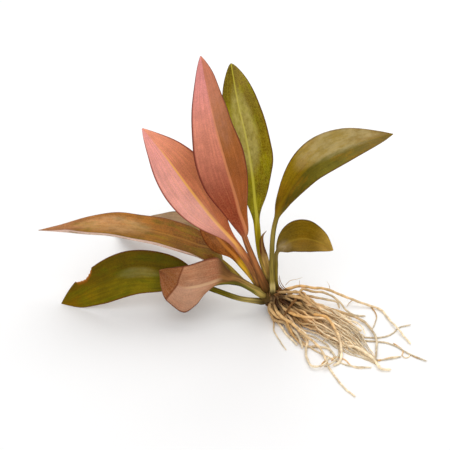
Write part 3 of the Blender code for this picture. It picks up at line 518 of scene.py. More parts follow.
def route_length(rows):
    return float(np.linalg.norm(np.diff(np.array(rows, dtype=float)[:, :3], axis=0), axis=1).sum())


def eased(value):
    """Goes smoothly from 0 to 1."""
    value = np.clip(value, 0.0, 1.0)
    return value * value * (3.0 - 2.0 * value)


def blade_width(along, widest, blunt):
    """Half width of a sword leaf as a share of its greatest, from base (0) to tip (1)."""
    along = np.clip(along, 0.0, 1.0)
    bend = math.log(0.5) / math.log(widest)
    power = blunt[0] + (blunt[1] - blunt[0]) * along
    return np.maximum(np.sin(math.pi * along**bend), 0.0) ** power


def unit(vectors):
    return vectors / np.maximum(np.linalg.norm(vectors, axis=-1, keepdims=True), 1e-9)


def wrapped_grid(name, around, along, wrap):
    """Adds a flat grid, wraps it round into a closed skin and joins its seam and its ends."""
    bpy.ops.object.select_all(action="DESELECT")
    bpy.ops.mesh.primitive_grid_add(x_subdivisions=around, y_subdivisions=along, size=2)
    piece = bpy.context.object
    piece.name = name
    mesh = piece.data
    mesh.name = name
    flat = np.empty(len(mesh.vertices) * 3)
    mesh.vertices.foreach_get("co", flat)
    flat = flat.reshape(-1, 3)
    corners, layers = wrap((flat[:, 0] + 1) / 2, (flat[:, 1] + 1) / 2)
    mesh.vertices.foreach_set("co", ((corners + CROWN) * MM).ravel())
    for title, values in layers.items():
        layer = mesh.attributes.new(title, "FLOAT_VECTOR", "POINT")
        layer.data.foreach_set("vector", np.ascontiguousarray(values).ravel())
    bpy.ops.object.mode_set(mode="EDIT")
    bpy.ops.mesh.select_all(action="SELECT")
    bpy.ops.mesh.remove_doubles(threshold=SEAM)
    bpy.ops.mesh.normals_make_consistent(inside=False)
    bpy.ops.object.mode_set(mode="OBJECT")
    bpy.ops.object.shade_smooth()
    return piece


def keep_above(points, gap):
    """Lifts the points that are less than a gap above the table."""
    points[:, 2] = np.maximum(points[:, 2], FLOOR + gap)


def around_leaf(share_around, petiole):
    """Where a point is round a leaf: its share of the half width, and how high it is on the round."""
    turn = 2 * math.pi * share_around
    round_across = -np.cos(turn)
    flat_across = 1 - 4 * np.abs(share_around - 0.5)
    across = 0.45 * round_across + 0.55 * flat_across
    return across * (1 - petiole) + round_across * petiole, np.sin(turn)


def leaf_height(sideways, rise, across, petiole, along, width):
    """How high the skin stands over the leaf's middle surface, for the petiole and the blade."""
    stalk = width * PETIOLE_FLATNESS * rise * np.where(rise > 0, 0.8, 1.0)
    stalk -= np.where(rise > 0, 0.22 * np.exp(-((sideways / 0.7) ** 2)), 0.0)
    edge = np.sqrt(np.clip(1 - across**2, 0, 1)) ** 0.7
    blade = LEAF_HALF_THICKNESS * edge * np.sign(rise)
    nearness = np.exp(-((sideways / RIB_WIDTH) ** 2))
    fading = 0.25 + 0.75 * (1 - np.clip(along, 0, 1))
    blade -= np.where(rise < 0, RIB_DEPTH * fading * nearness, 0.2 * nearness)
    return stalk * petiole + blade * (1 - petiole)


def ripple(across, along, wave, seed):
    """The gentle wave of the margins, a different one on each half."""
    side = np.where(across > 0, 1.0, -1.0)
    envelope = np.clip(np.sin(math.pi * np.clip(along, 0, 1)), 0, 1) ** 0.6
    first = np.sin(along * 13 + seed * 2.3 + side * 1.1)
    second = 0.6 * np.sin(along * 29 + seed * 4.1 - side * 2.0)
    return wave * across**2 * envelope * (first + second)


def half_shape(plan, half, along):
    """How much wider or narrower one half of a blade is than the plain sword shape."""
    values = plan.get(half, [1] * len(STATIONS))
    spots = along[:, None] + np.linspace(-0.05, 0.05, 9)[None, :]
    return np.interp(spots, STATIONS, values).mean(axis=1)


def torn_edge(share, tear):
    """How far the torn notch bites into the near margin, with a ragged rim."""
    part = np.clip((share - tear[0]) / (tear[1] - tear[0]), 0, 1)
    opening = np.clip(part / 0.5, 0, 1) ** 0.75 * np.clip(1 - part, 0, 1) ** 0.6
    ragged = 1 + 0.1 * np.sin(share * 700) + 0.07 * np.sin(share * 1700)
    return tear[2] * opening * ragged


def leaf_wrap(plan, seed):
    """Gives the function that wraps a grid round one leaf, petiole and blade together."""
    length = route_length(plan["rows"])

    def wrap(share_around, share_along):
        levels, row_of = np.unique(share_along.round(7), return_inverse=True)
        buried = BURIED / length
        share = -buried + (1 + buried) * levels
        rows = smooth_rows(plan["rows"], share)
        ways = unit(smooth_rows(plan["rows"], np.clip(share, 0, 1) + 0.008)[:, :3]
                    - smooth_rows(plan["rows"], np.clip(share, 0, 1) - 0.008)[:, :3])
        middle = rows[:, :3] + ways * (np.minimum(share, 0) * length)[:, None]
        side = unit(np.cross(ways, np.array(plan["faces"], dtype=float)))
        up = unit(np.cross(side, ways))
        for row in range(len(levels)):
            turn = np.array(Matrix.Rotation(math.radians(rows[row, 3]), 3, Vector(ways[row])))
            side[row] = turn @ side[row]
            up[row] = turn @ up[row]
        along = (share - plan["blade"]) / (1 - plan["blade"])
        at_blade = eased(share / plan["blade"])
        stalk = plan["stalk"][0] * (1 - at_blade) + plan["stalk"][1] * at_blade
        stalk = stalk * (1.0 - 0.8 * eased(along * 2.2))
        stalk = stalk * (1.0 + FOOT_WIDENING * np.clip(1 - share / FOOT_REACH, 0, 1) ** 2)
        stalk = stalk * np.sqrt(1 - np.clip(-share / buried, 0, 1) ** 2)
        spread = plan["half"] * blade_width(along, plan["widest"], plan["blunt"])
        width = np.hypot(stalk, spread)
        far = np.hypot(stalk, spread * half_shape(plan, "far", along))
        near = np.hypot(stalk, spread * half_shape(plan, "near", along))
        for reach in (width, far, near):
            reach[0] = 0
        petiole = np.ones_like(along) if plan.get("rolled") else 1 - eased(along * 6)
        fold = np.radians(rows[:, 4])
        middle, side, up, share, along, petiole, fold, width, far, near = (
            values[row_of]
            for values in (middle, side, up, share, along, petiole, fold, width, far, near))
        across, rise = around_leaf(share_around, petiole)
        sideways = across * np.where(across > 0, near, far)
        rim = np.zeros(len(rise))
        if "tear" in plan:
            bite = torn_edge(share, plan["tear"])
            limit = near - bite
            rim = np.clip(1 - (limit - sideways) / TORN_RIM, 0, 1) * np.clip(bite / 0.5, 0, 1)
            sideways = np.minimum(sideways, limit)
        high = leaf_height(sideways, rise, across, petiole, along, width)
        flat = 1 - petiole
        lift = (np.sqrt(sideways**2 + FOLD_ROUND**2) - FOLD_ROUND) * np.sin(fold) * flat
        lift += ripple(across, along, plan["wave"], seed) * flat
        narrowed = sideways * (np.cos(fold) * flat + petiole)
        if "lip" in plan:
            start, height = plan["lip"]
            curled = np.clip((-across - start) / (1 - start), 0, 1) * flat
            curled = curled * np.clip(along * 5, 0, 1) * np.clip((1 - along) * 7, 0, 1)
            lift += height * curled**1.5
            narrowed += curled * (1 - start) * width * 0.7
        height = high * np.clip(width / 1.2, 0, 1) + lift
        corners = middle + side * narrowed[:, None] + up * height[:, None]
        keep_above(corners, 0.02)
        place = np.stack([across, along, rise], axis=1)
        span = np.stack([sideways, share * length, rim], axis=1)
        return corners, {"place": place, "span": span}

    return wrap


def folded_wrap(seed):
    """Gives the function that wraps a grid round the folded leaf, between its midrib and edges."""
    first = np.array(FOLDED_ROWS[0], dtype=float)
    across_blade = first[6:9] - first[3:6]
    rows = []
    stalk = np.array(FOLDED_STALK, dtype=float)
    ways = unit(np.gradient(stalk[:, :3], axis=0))
    buried = np.append(stalk[0, :3] - ways[0] * BURIED, stalk[0, 3] * 0.4)
    stalk = np.concatenate([[buried], stalk])
    ways = np.concatenate([[ways[0]], ways])
    for point, way in zip(stalk, ways):
        side = unit(across_blade - way * np.dot(across_blade, way)) * point[3]
        rows.append((*point[:3], *(point[:3] - side), *(point[:3] + side), 1.0))
    for number, row in enumerate(FOLDED_ROWS):
        rows.append((*row, 0.6 if number == 0 else 0.0))
    rows.append((*FOLDED_TIP, *FOLDED_TIP, *FOLDED_TIP, 0.0))
    length = route_length(rows)
    blade_start = route_length(rows[:len(stalk) + 2]) / length

    def wrap(share_around, share_along):
        levels, row_of = np.unique(share_along.round(7), return_inverse=True)
        table = smooth_rows(rows, levels)
        middle = table[:, 0:3]
        back = table[:, 3:6]
        front = table[:, 6:9]
        petiole = np.clip(table[:, 9], 0, 1)
        back[0] = middle[0]
        front[0] = middle[0]
        ways = unit(np.gradient(middle, axis=0))
        along = (levels - blade_start) / (1 - blade_start)
        half = (np.linalg.norm(back - middle, axis=1) + np.linalg.norm(front - middle, axis=1)) / 2
        back_normal = unit(np.cross(ways, middle - back))
        front_normal = unit(np.cross(ways, front - middle))
        middle, back, front, back_normal, front_normal, along, petiole, half, levels = (
            values[row_of] for values in (
                middle, back, front, back_normal, front_normal, along, petiole, half, levels))
        across, rise = around_leaf(share_around, petiole)
        rounded = np.sqrt(across**2 + FOLDED_ROUND**2)
        corners = middle + (front - middle) * ((across + rounded) / 2)[:, None]
        corners += (back - middle) * ((-across + rounded) / 2)[:, None]
        lean = 0.5 * np.clip(across * 3, -1, 1)[:, None]
        normal = unit(back_normal * (0.5 - lean) + front_normal * (0.5 + lean))
        sideways = across * half
        flat = 1 - petiole
        thick = np.minimum(half, FOLDED_THICK)
        high = leaf_height(sideways, rise, across, petiole, np.clip(along, 0.3, 1), thick)
        bulge = FOLDED_BULGE * (1 - (2 * np.abs(across) - 1) ** 2) * flat
        bulge += ripple(across, along, FOLDED_WAVE, seed) * flat
        beyond = along - CREASE[0] - CREASE[1] * across
        bulge += CREASE[2] * np.exp(-np.abs(beyond) / CREASE[3]) * flat
        corners += normal * ((high + bulge) * np.clip(half / 1.2, 0, 1))[:, None]
        place = np.stack([across, along, rise], axis=1)
        span = np.stack([sideways, levels * length, np.zeros(len(rise))], axis=1)
        return corners, {"place": place, "span": span}

    return wrap


def wiggle(count, step, seed, height):
    """Small bends in two directions, the way a root grows round grains of soil."""
    way = np.arange(count) * step
    bends = []
    for turn in (0.0, 1.7):
        slow = np.sin(way * 0.42 + seed * 1.9 + turn)
        quick = 0.45 * np.sin(way * 1.07 + seed * 3.7 + turn * 2.1)
        bends.append(height * (slow + quick))
    return bends


def root_wrap(rows, radii, seed, bent, tone, buried=0, dark=NO_DARK):
    """Gives the function that wraps a grid round one root, and how many rings it needs."""
    length = route_length(rows)
    count = max(int(length / ROOT_STEP), 6)
    knots = [(*row, radius) for row, radius in zip(rows, radii)]
    table = smooth_rows(knots, np.linspace(0, 1, count + 1))
    middle = table[:, :3]
    radius = table[:, 3]
    ways = unit(np.gradient(middle, axis=0))
    side = unit(np.cross(ways, np.array([0.13, 0.21, 0.97])))
    up = np.cross(side, ways)
    first, second = wiggle(count + 1, length / count, seed, bent)
    share = np.linspace(0, 1, count + 1)
    ease = np.clip(np.arange(count + 1) / 8, 0, 1) * (1 - 0.55 * share)
    middle = middle + side * (first * ease)[:, None] + up * (second * ease * 0.6)[:, None]
    travel = share * length
    radius = radius * (1 + 0.07 * np.sin(travel * 0.9 + seed) + 0.05 * np.sin(travel * 2.3 + seed * 2))
    left = length - travel
    radius = radius * np.sqrt(np.clip(1 - (1 - np.clip(left / 1.6, 0, 1)) ** 2, 0, 1))
    keep_above(middle, radius)
    middle[0] -= ways[0] * buried
    radius[0] = 0
    if buried:
        middle[1] -= ways[1] * buried * 0.6

    def wrap(share_around, share_along):
        row_of = np.round(share_along * count).astype(int)
        turn = -2 * math.pi * share_around
        spoke = side[row_of] * np.cos(turn)[:, None] + up[row_of] * np.sin(turn)[:, None]
        corners = middle[row_of] + spoke * radius[row_of][:, None]
        keep_above(corners, 0.01)
        fact = np.stack([share[row_of], travel[row_of] - dark, np.full(len(row_of), tone)], axis=1)
        return corners, {"root_place": fact}

    return wrap, count


def root_line(node, crown_tree):
    """Reads the middle line and the radii of a solid root from its rings of five corners."""
    mesh = bmesh.new()
    mesh.from_mesh(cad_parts[node].data)
    bmesh.ops.remove_doubles(mesh, verts=mesh.verts, dist=0.000002)
    nearest = sorted(mesh.verts, key=lambda corner: crown_tree.find_nearest(corner.co)[3])
    ring = set(nearest[:5])
    seen = set(ring)
    points = []
    radii = []
    while ring:
        middle = sum((corner.co for corner in ring), Vector()) / len(ring)
        points.append(np.array(middle) / MM - CROWN)
        radii.append(sum((corner.co - middle).length for corner in ring) / len(ring) / MM)
        ring = {edge.other_vert(corner) for corner in ring for edge in corner.link_edges} - seen
        seen |= ring
    mesh.free()
    return points, radii


def from_crown(local):
    """Places points that are given along the crown's own axis and round it."""
    return np.array(CROWN_MIDDLE) + local @ CROWN_TURN.T


def crown_wrap(share_around, share_along):
    """The crown: a knobbly stub with rings where old leaves were shed."""
    around = -2 * math.pi * share_around
    angle = math.pi * share_along
    lump = 1 + 0.07 * np.sin(3 * around + 5.3 * angle) + 0.05 * np.sin(7 * around - 9 * angle)
    lump += 0.035 * np.sin(16 * angle) + 0.02 * np.sin(13 * around + 11 * angle)
    reach = CROWN_RADIUS * np.sin(angle) * lump
    along = -np.cos(angle) * CROWN_HALF_LENGTH
    local = np.stack([reach * np.cos(around), reach * np.sin(around), along], axis=1)
    corners = from_crown(local)
    keep_above(corners, 0.05)
    # The colour darkens towards the crown's root end: partly its own brown, partly painted shade among
    # the roots.
    fact = np.stack([share_along, share_along * 12, np.full(len(around), 0.5)], axis=1)
    return corners, {"root_place": fact}


def on_crown(point):
    """Moves a point straight out from the crown's axis, or in towards it, until it lies on its skin."""
    local = (np.array(point) - np.array(CROWN_MIDDLE)) @ CROWN_TURN
    along = np.clip(local[2] / CROWN_HALF_LENGTH, -0.9, 0.9)
    reach = CROWN_RADIUS * math.sqrt(1 - along**2) * 1.03
    local[:2] *= reach / max(np.linalg.norm(local[:2]), 0.001)
    return from_crown(local)


def climbing_start(first):
    """Points that carry the start of a root up over the crown's skin, the first one inside it."""
    top = np.array(CLIMB_TOP)
    top[0] += CLIMB_APART * (first[0] - top[0])
    points = [on_crown(first + (top - first) * share) for share in CLIMB_SHARES]
    inside = points[0] + (np.array(CROWN_MIDDLE) - points[0]) * CLIMB_SINK
    return [inside, *points]


def crown_fibre(number):
    """The route of a fibre that hugs the crown on its way from the leaves to the roots."""
    first = -0.5 + 0.5 * scattered(number, 0.37)
    steps = np.linspace(first, first + 0.8, 7)
    around = number * 2.4 + steps * CROWN_FIBRE_TWIST * math.sin(number * 1.9) * 2
    reach = CROWN_RADIUS * np.sqrt(np.clip(1 - steps**2, 0.1, 1)) * 1.05
    local = np.stack([reach * np.cos(around), reach * np.sin(around), steps * CROWN_HALF_LENGTH], axis=1)
    return from_crown(local).tolist()


def feed(tree, node, feeds):
    """Gives the inputs of a node their numbers, colours or other nodes' outputs."""
    for key, value in feeds.items():
        if isinstance(value, bpy.types.NodeSocket):
            tree.links.new(value, node.inputs[key])
        else:
            node.inputs[key].default_value = value


def make_node(tree, kind, feeds, **settings):
    """Adds a node with its settings and feeds it. Gives its outputs."""
    made = tree.nodes.new(kind)
    for key, value in settings.items():
        setattr(made, key, value)
    feed(tree, made, feeds)
    return made.outputs


def next_node(kind, feeds, **settings):
    """Adds a node to the tree that its first feed is in. Gives its outputs."""
    first = next(iter(feeds.values()))
    return make_node(first.id_data, kind, feeds, **settings)


def work(operation, first, second=0):
    """One sum on one or two numbers, of which the first comes from a node."""
    return next_node("ShaderNodeMath", {0: first, 1: second}, operation=operation)[0]


def times(first, second):
    return work("MULTIPLY", first, second)


def plus(first, second):
    return work("ADD", first, second)


def minus(first, second):
    return work("SUBTRACT", first, second)


def ramp(value, low, high, start=0, end=1):
    """Goes smoothly from start to end while value goes from low to high."""
    feeds = {0: value, 1: low, 2: high, 3: start, 4: end}
    return next_node("ShaderNodeMapRange", feeds, interpolation_type="SMOOTHSTEP")[0]


def mixed(share, first, second):
    """A blend of two colours."""
    return next_node("ShaderNodeMix", {0: share, 6: first, 7: second}, data_type="RGBA")[2]


def cloud(vector, scale, detail, roughness):
    """Soft noise from 0 to 1."""
    feeds = {"Vector": vector, "Scale": scale, "Detail": detail, "Roughness": roughness}
    return next_node("ShaderNodeTexNoise", feeds)[0]


def facts(tree, title):
    """The three numbers of an attribute of the mesh."""
    read = make_node(tree, "ShaderNodeAttribute", {}, attribute_name=title)
    return tuple(next_node("ShaderNodeSeparateXYZ", {0: read["Vector"]}))


def vector_of(first, second, third):
    return next_node("ShaderNodeCombineXYZ", {0: first, 1: second, 2: third})[0]


def stretched(first, first_scale, second, second_scale, third):
    """Where a pattern is read that is drawn out by a different scale each way."""
    return vector_of(times(first, first_scale), times(second, second_scale), third)


def new_group(name, inputs, outputs):
    """An empty node group, in which a tuple and whatever is called Colour are colours."""
    tree = bpy.data.node_groups.new(name, "ShaderNodeTree")
    for title, value in inputs.items():
        kind = "NodeSocketColor" if isinstance(value, tuple) else "NodeSocketFloat"
        tree.interface.new_socket(title, in_out="INPUT", socket_type=kind).default_value = value
    for title in outputs:
        kind = "NodeSocketColor" if title == "Colour" else "NodeSocketFloat"
        tree.interface.new_socket(title, in_out="OUTPUT", socket_type=kind)
    return tree, tree.nodes.new("NodeGroupInput").outputs, tree.nodes.new("NodeGroupOutput")


def brightness(tint, value):
    """A colour made lighter or darker."""
    return next_node("ShaderNodeHueSaturation", {"Color": tint, "Value": value})[0]


def uneven(tint, noise, low, high, amount):
    """A colour made lighter and darker by up to an amount, after a noise."""
    swing = ramp(noise, low, high, -1, 1)
    return brightness(tint, plus(times(swing, amount), 1))


def vein_cells(wide, long, seed, feature):
    """The small cells between the finest veins of a leaf."""
    place = stretched(wide, 1.15, long, 0.75, seed)
    feeds = {"Vector": place, "Scale": 0.95}
    return next_node("ShaderNodeTexVoronoi", feeds, feature=feature)["Distance"]


def leaf_face_group():
    """The colours of one face of a leaf, laid out along its veins."""
    tints = dict.fromkeys((*FACE_PARTS, "Blotch"), BLACK)
    tree, take, result = new_group("Leaf face", {**tints, **FACE_LAYOUT}, ["Colour"])
    across, along, _ = facts(tree, "place")
    wide, long, rim = facts(tree, "span")
    seed = take["Seed"]
    mottling = take["Mottling"]
    midrib = take["Midrib"]
    spread = work("ABSOLUTE", across)
    to_base = ramp(along, take["Base Start"], take["Base End"], 1, 0)
    slanted = minus(along, times(across, take["Tip Slant"]))
    to_tip = ramp(slanted, take["Tip Start"], take["Tip End"])
    halves = []
    for half in ("Far", "Near"):
        tint = mixed(to_base, take[half + " Middle"], take[half + " Base"])
        halves.append(mixed(to_tip, tint, take[half + " Tip"]))
    blend = take["Half Blend"]
    tint = mixed(ramp(across, times(blend, -1), blend), *halves)
    blotches = cloud(stretched(wide, 1, long, 0.4, seed), 0.17, 4, 0.65)
    blotches = times(ramp(blotches, 0.47, 0.62), take["Blotch Strength"])
    tint = mixed(blotches, tint, take["Blotch"])
    streaks = cloud(stretched(across, 9, long, 0.035, seed), 1.6, 4, 0.6)
    flat = vector_of(wide, long, seed)
    patches = cloud(flat, 0.11, 3, 0.6)
    speckle = cloud(flat, 1.7, 3, 0.7)
    tint = uneven(tint, streaks, 0.35, 0.65, plus(times(mottling, 0.14), 0.04))
    tint = uneven(tint, patches, 0.35, 0.65, times(mottling, 0.2))
    tint = uneven(tint, speckle, 0.3, 0.7, times(mottling, 0.28))
    net = ramp(vein_cells(wide, long, seed, "DISTANCE_TO_EDGE"), 0, 0.16, 1, 0)
    tint = mixed(times(net, times(mottling, 0.3)), tint, midrib)
    lines = ramp(work("PINGPONG", spread, VEIN_HALF_GAP), 0, 0.028, 0.2, 0)
    tint = mixed(times(lines, ramp(patches, 0.4, 0.6)), tint, midrib)
    rib_width = ramp(along, 0, 1, 1.25, 0.35)
    rib = ramp(work("DIVIDE", work("ABSOLUTE", wide), rib_width), 0.35, 1, 1, 0)
    fading = ramp(along, minus(take["Rib End"], 0.25), take["Rib End"], 1, 0)
    tint = mixed(times(times(rib, take["Rib Strength"]), fading), tint, midrib)
    margin = times(ramp(spread, 0.91, 0.975), ramp(along, 0, 0.1, 0, 0.9))
    tint = mixed(margin, tint, take["Margin"])
    # Painted shadow: a line of the margin's colour where the tip's colours start, along the folded
    # leaf's crease.
    beside = work("ABSOLUTE", minus(slanted, take["Tip End"]))
    crease_shadow = times(ramp(beside, 0.004, 0.018, 1, 0), take["Crease Shadow Strength"])
    tint = mixed(crease_shadow, tint, take["Margin"])
    torn = mixed(ramp(rim, 0.6, 0.95), colour(*TORN_BROWN), colour(*TORN_PALE))
    tint = mixed(ramp(rim, 0.1, 0.6, 0, 0.9), tint, torn)
    foot = ramp(long, 3, take["Foot End"], 1, 0)
    petiole = mixed(foot, take["Petiole"], take["Foot"])
    green = times(ramp(across, 0.1, 0.6), ramp(long, 3, 10))
    green = times(green, take["Green Strength"])
    petiole = mixed(green, petiole, colour(*PETIOLE_GREEN))
    darkening = ramp(long, -1.5, take["Foot Dark"], 0.9, 0)
    petiole = mixed(darkening, petiole, colour(*FOOT_DARK))
    streaks = cloud(stretched(across, 1.6, long, 0.05, seed), 1.5, 2, 0.6)
    petiole = uneven(petiole, streaks, 0.38, 0.62, 0.32)
    # Painted shade: each petiole is darker towards its two sides.
    petiole = brightness(petiole, ramp(spread, 0.6, 0.98, 1, 0.62))
    tint = mixed(ramp(along, -0.05, 0.09, 1, 0), tint, petiole)
    feed(tree, result, {"Colour": tint})
    return tree


def wet_film_group():
    """Where a film of water lies on a leaf: a soft round area with a broken rim."""
    tree, take, result = new_group("Wet film", dict.fromkeys(FILM_PARTS, 0.5), ["Film"])
    across, along, _ = facts(tree, "place")
    wide, long, _ = facts(tree, "span")
    squares = []
    for title, place in (("Across", across), ("Along", along)):
        away = work("DIVIDE", minus(place, take[title]), take["Reach " + title])
        squares.append(times(away, away))
    broken = cloud(stretched(wide, 1, long, 0.5, take["Seed"]), 0.42, 4, 0.65)
    broken = ramp(broken, 0.32, 0.68, 0.4, 1)
    film = ramp(plus(*squares), 0.2, 1, 1, 0)
    feed(tree, result, {"Film": times(film, broken)})
    return tree


def leaf_relief_group():
    """The height of a leaf's veins and cells."""
    tree, take, result = new_group("Leaf relief", {"Seed": 0.0}, ["Height", "Grain"])
    across, _, _ = facts(tree, "place")
    wide, long, _ = facts(tree, "span")
    spread = work("ABSOLUTE", across)
    lines = ramp(work("PINGPONG", spread, VEIN_HALF_GAP), 0, 0.04, 1, 0)
    fine = ramp(work("PINGPONG", spread, FINE_VEIN_HALF_GAP), 0, 0.03, 0.35, 0)
    cells = vein_cells(wide, long, take["Seed"], "SMOOTH_F1")
    grain = cloud(vector_of(wide, long, take["Seed"]), 0.8, 4, 0.6)
    height = times(plus(lines, fine), 0.5)
    height = plus(height, times(cells, 0.9))
    height = plus(height, times(grain, 0.5))
    feed(tree, result, {"Height": height, "Grain": grain})
    return tree


def root_skin_group():
    """The colour and relief of a root, from its dark start, which is partly painted shade, to its pale
    tip.
    """
    tree, take, result = new_group(
        "Root skin", dict.fromkeys(ROOT_PARTS, BLACK), ["Colour", "Height", "Rough"])
    share, long, tone = facts(tree, "root_place")
    place = make_node(tree, "ShaderNodeTexCoord", {})["Object"]
    grain = cloud(place, 900, 4, 0.6)
    patches = cloud(place, 190, 3, 0.6)
    wave = cloud(vector_of(times(long, 0.3), tone, 0), 1, 3, 0.6)
    # The Start colour near the crown is partly the roots' own dark brown and partly painted shade.
    tint = mixed(ramp(long, -2, 9), take["Start"], take["Middle"])
    tint = mixed(ramp(share, 0.2, 0.85, 0, 0.9), tint, take["Tip"])
    tint = brightness(tint, ramp(tone, 0, 1, 0.72, 1.16))
    tint = brightness(tint, ramp(wave, 0.35, 0.65, 0.78, 1.12))
    tint = mixed(ramp(patches, 0.56, 0.72, 0, 0.45), tint, take["Dirt"])
    tint = mixed(ramp(grain, 0.55, 0.8, 0, 0.3), tint, take["Dirt"])
    rough = ramp(patches, 0.35, 0.65, 0.62, 0.36)
    feed(tree, result, {"Colour": tint, "Height": plus(grain, patches), "Rough": rough})
    return tree


def use_group(tree, group, values):
    """Places a node group in a material, with its own values. Gives its outputs."""
    return make_node(tree, "ShaderNodeGroup", values, node_tree=group)


def new_material(name):
    """A material, its node tree and its shader."""
    made = bpy.data.materials.new(name)
    made.use_nodes = True
    return made, made.node_tree, made.node_tree.nodes["Principled BSDF"]


def bumped(height, strength, depth):
    """The normal of a skin with a relief, whose depth is in metres."""
    feeds = {"Height": height, "Strength": strength, "Distance": depth}
    return next_node("ShaderNodeBump", feeds)["Normal"]


def leaf_material(name, seed, face_group, relief_group, film_group):
    """Both faces of one leaf, under the same veins and the same wet film, with a painted sheen where the
    film lies.
    """
    made, tree, shader = new_material(name + "_skin")
    sides = []
    for side in ("upper", "under"):
        tints = FACES[name][side]
        if len(tints) < len(FACE_PARTS):
            tints = tints[:3] + tints
        values = {title: colour(*tint) for title, tint in zip(FACE_PARTS, tints)}
        values["Blotch"] = colour(*BLOTCHES.get(name, (0, 0, 0)))
        values["Seed"] = seed
        values.update(LEAF_LAYOUTS.get(name, {}))
        sides.append(use_group(tree, face_group, values)["Colour"])
    _, _, rise = facts(tree, "place")
    tint = mixed(ramp(rise, -0.02, 0.02), sides[1], sides[0])
    *extent, strength, painted_sheen = FILMS_AND_PAINTED_SHEEN[name]
    film = use_group(tree, film_group, dict(zip(FILM_PARTS, (*extent, seed))))["Film"]
    # Painted highlight: a pale sheen mixed into the colour where the film lies. The coat and the lower
    # roughness are the film's real gloss.
    tint = mixed(times(film, strength), tint, colour(*painted_sheen))
    relief = use_group(tree, relief_group, {"Seed": seed})
    rough = plus(times(relief["Grain"], GRAIN_ROUGHNESS), DRY_ROUGHNESS)
    rough = minus(rough, times(film, FILM_SMOOTHING))
    feed(tree, shader, {
        **LEAF_SHINE, "Base Color": tint, "Roughness": rough, "Coat Weight": times(film, FILM_COAT),
        "Normal": bumped(relief["Height"], *LEAF_RELIEF)})
    return made


def root_material(name, group):
    """The skin of the main roots, the hair roots, the dry fibres or the crown."""
    made, tree, shader = new_material(name)
    *tints, depth = ROOT_SKINS[name]
    values = {title: colour(*tint) for title, tint in zip(ROOT_PARTS, tints)}
    skin = use_group(tree, group, values)
    feed(tree, shader, {
        **ROOT_SHINE, "Base Color": skin["Colour"], "Roughness": skin["Rough"],
        "Normal": bumped(skin["Height"], ROOT_RELIEF, depth)})
    return made


def join_pieces(pieces, name):
    """Joins pieces to one and names it."""
    bpy.ops.object.select_all(action="DESELECT")
    for piece in pieces:
        piece.select_set(True)
    bpy.context.view_layer.objects.active = pieces[0]
    bpy.ops.object.join()
    joined = bpy.context.object
    joined.name = name
    joined.data.name = name
    return joined


def make_leaves():
    groups = (leaf_face_group(), leaf_relief_group(), wet_film_group())
    for number, name in enumerate((*LEAVES, "leaf_folded")):
        seed = number * 1.37 + 0.4
        wrap = folded_wrap(seed) if name == "leaf_folded" else leaf_wrap(LEAVES[name], seed)
        piece = wrapped_grid(name + "_grown", LEAF_AROUND, LEAF_ALONG, wrap)
        piece.data.materials.append(leaf_material(name, seed, *groups))
        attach(piece, "root")
        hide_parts(name)


def make_main_roots(skin):
    """A grown skin for every solid root."""
    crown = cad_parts["crown"].data
    crown_tree = BVHTree.FromPolygons(
        [corner.co for corner in crown.vertices], [face.vertices for face in crown.polygons])
    names = sorted(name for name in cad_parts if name.startswith("root_"))
    for number, name in enumerate(names):
        points, radii = root_line(name, crown_tree)
        if name in TOP_STARTS:
            starts = [np.array(point) for point in TOP_STARTS[name]]
            kept = [place for place, point in enumerate(points) if point[0] > starts[-1][0] + 2]
            points = starts + [points[place] for place in kept]
            radii = [radii[0]] * len(starts) + [radii[place] for place in kept]
        in_fan = name.startswith("root_fan")
        thinner = FAN_THINNER if in_fan else ROOT_THINNER
        radii = list(np.array(radii) * np.linspace(*thinner, len(radii)))
        dark = next(reach for start, reach in DARK_REACH.items() if name.startswith(start))
        if in_fan and points[0][1] > FAR_START:
            dark = FAR_DARK
        buried = ROOT_BURIED
        if name not in TOP_STARTS and not in_fan and points[0][1] < CLIMB_FRONT:
            points = climbing_start(points[0]) + points
            radii = [radii[0] * share for share in CLIMB_THINNER] + radii
            buried = 0
            dark += CLIMB_DARKER
        bent = FAN_BEND if in_fan else ROOT_BEND
        wrap, count = root_wrap(
            points, radii, number * 0.77, bent, scattered(number, TONE_STEP), buried, dark)
        piece = wrapped_grid(name + "_grown", ROOT_AROUND, count, wrap)
        piece.data.materials.append(skin)
        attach(piece, "root")
        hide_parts(name)


def threads(name, rows, seed_step, bent):
    """A thin round piece for each row of a first radius, a last radius and a route."""
    made = []
    for number, (first, last, route) in enumerate(rows):
        radii = np.linspace(first, last, len(route))
        wrap, count = root_wrap(
            route, radii, number * seed_step, bent, scattered(number, TONE_STEP))
        made.append(wrapped_grid(name, HAIR_AROUND, count, wrap))
    return made


def fan_strands():
    """Fine strands between the two edges of the fan, in several layers."""
    steps = np.linspace(0, 1, 10)
    back = smooth_rows(STRAND_BACK, steps)
    front = smooth_rows(STRAND_FRONT, steps)
    made = []
    for number in range(STRAND_COUNT):
        first = scattered(number, 0.618, 0.21) ** 0.8
        last = np.clip(first + 0.9 * (scattered(number, 0.755, 0.3) - 0.5), 0, 1)
        layer = scattered(number, 0.377)
        mix = (first + (last - first) * eased(steps))[:, None]
        route = back * (1 - mix) + front * mix
        apart = np.sin(math.pi * steps)
        route[:, 0] += np.sin(steps * (2 + layer * 4) + number * 1.3) * STRAND_SWAY[0] * apart
        route[:, 1] += np.sin(steps * (3 + last * 4) + number * 2.1) * STRAND_SWAY[1] * apart
        route[:, 2] += layer * STRAND_HEIGHT * (1 - steps) ** 0.8 - 0.6
        route = smooth_rows(route, steps * (0.52 + 0.48 * scattered(number, 0.83)))
        thick = 0.7 + 0.5 * scattered(number, 0.291)
        radii = np.linspace(*STRAND_RADIUS, len(route)) * thick
        tone = scattered(number, 0.41)
        wrap, count = root_wrap(route, radii, number * 2.3, STRAND_BEND, tone, 0, STRAND_DARK)
        made.append(wrapped_grid("strand", HAIR_AROUND, count, wrap))
    return made


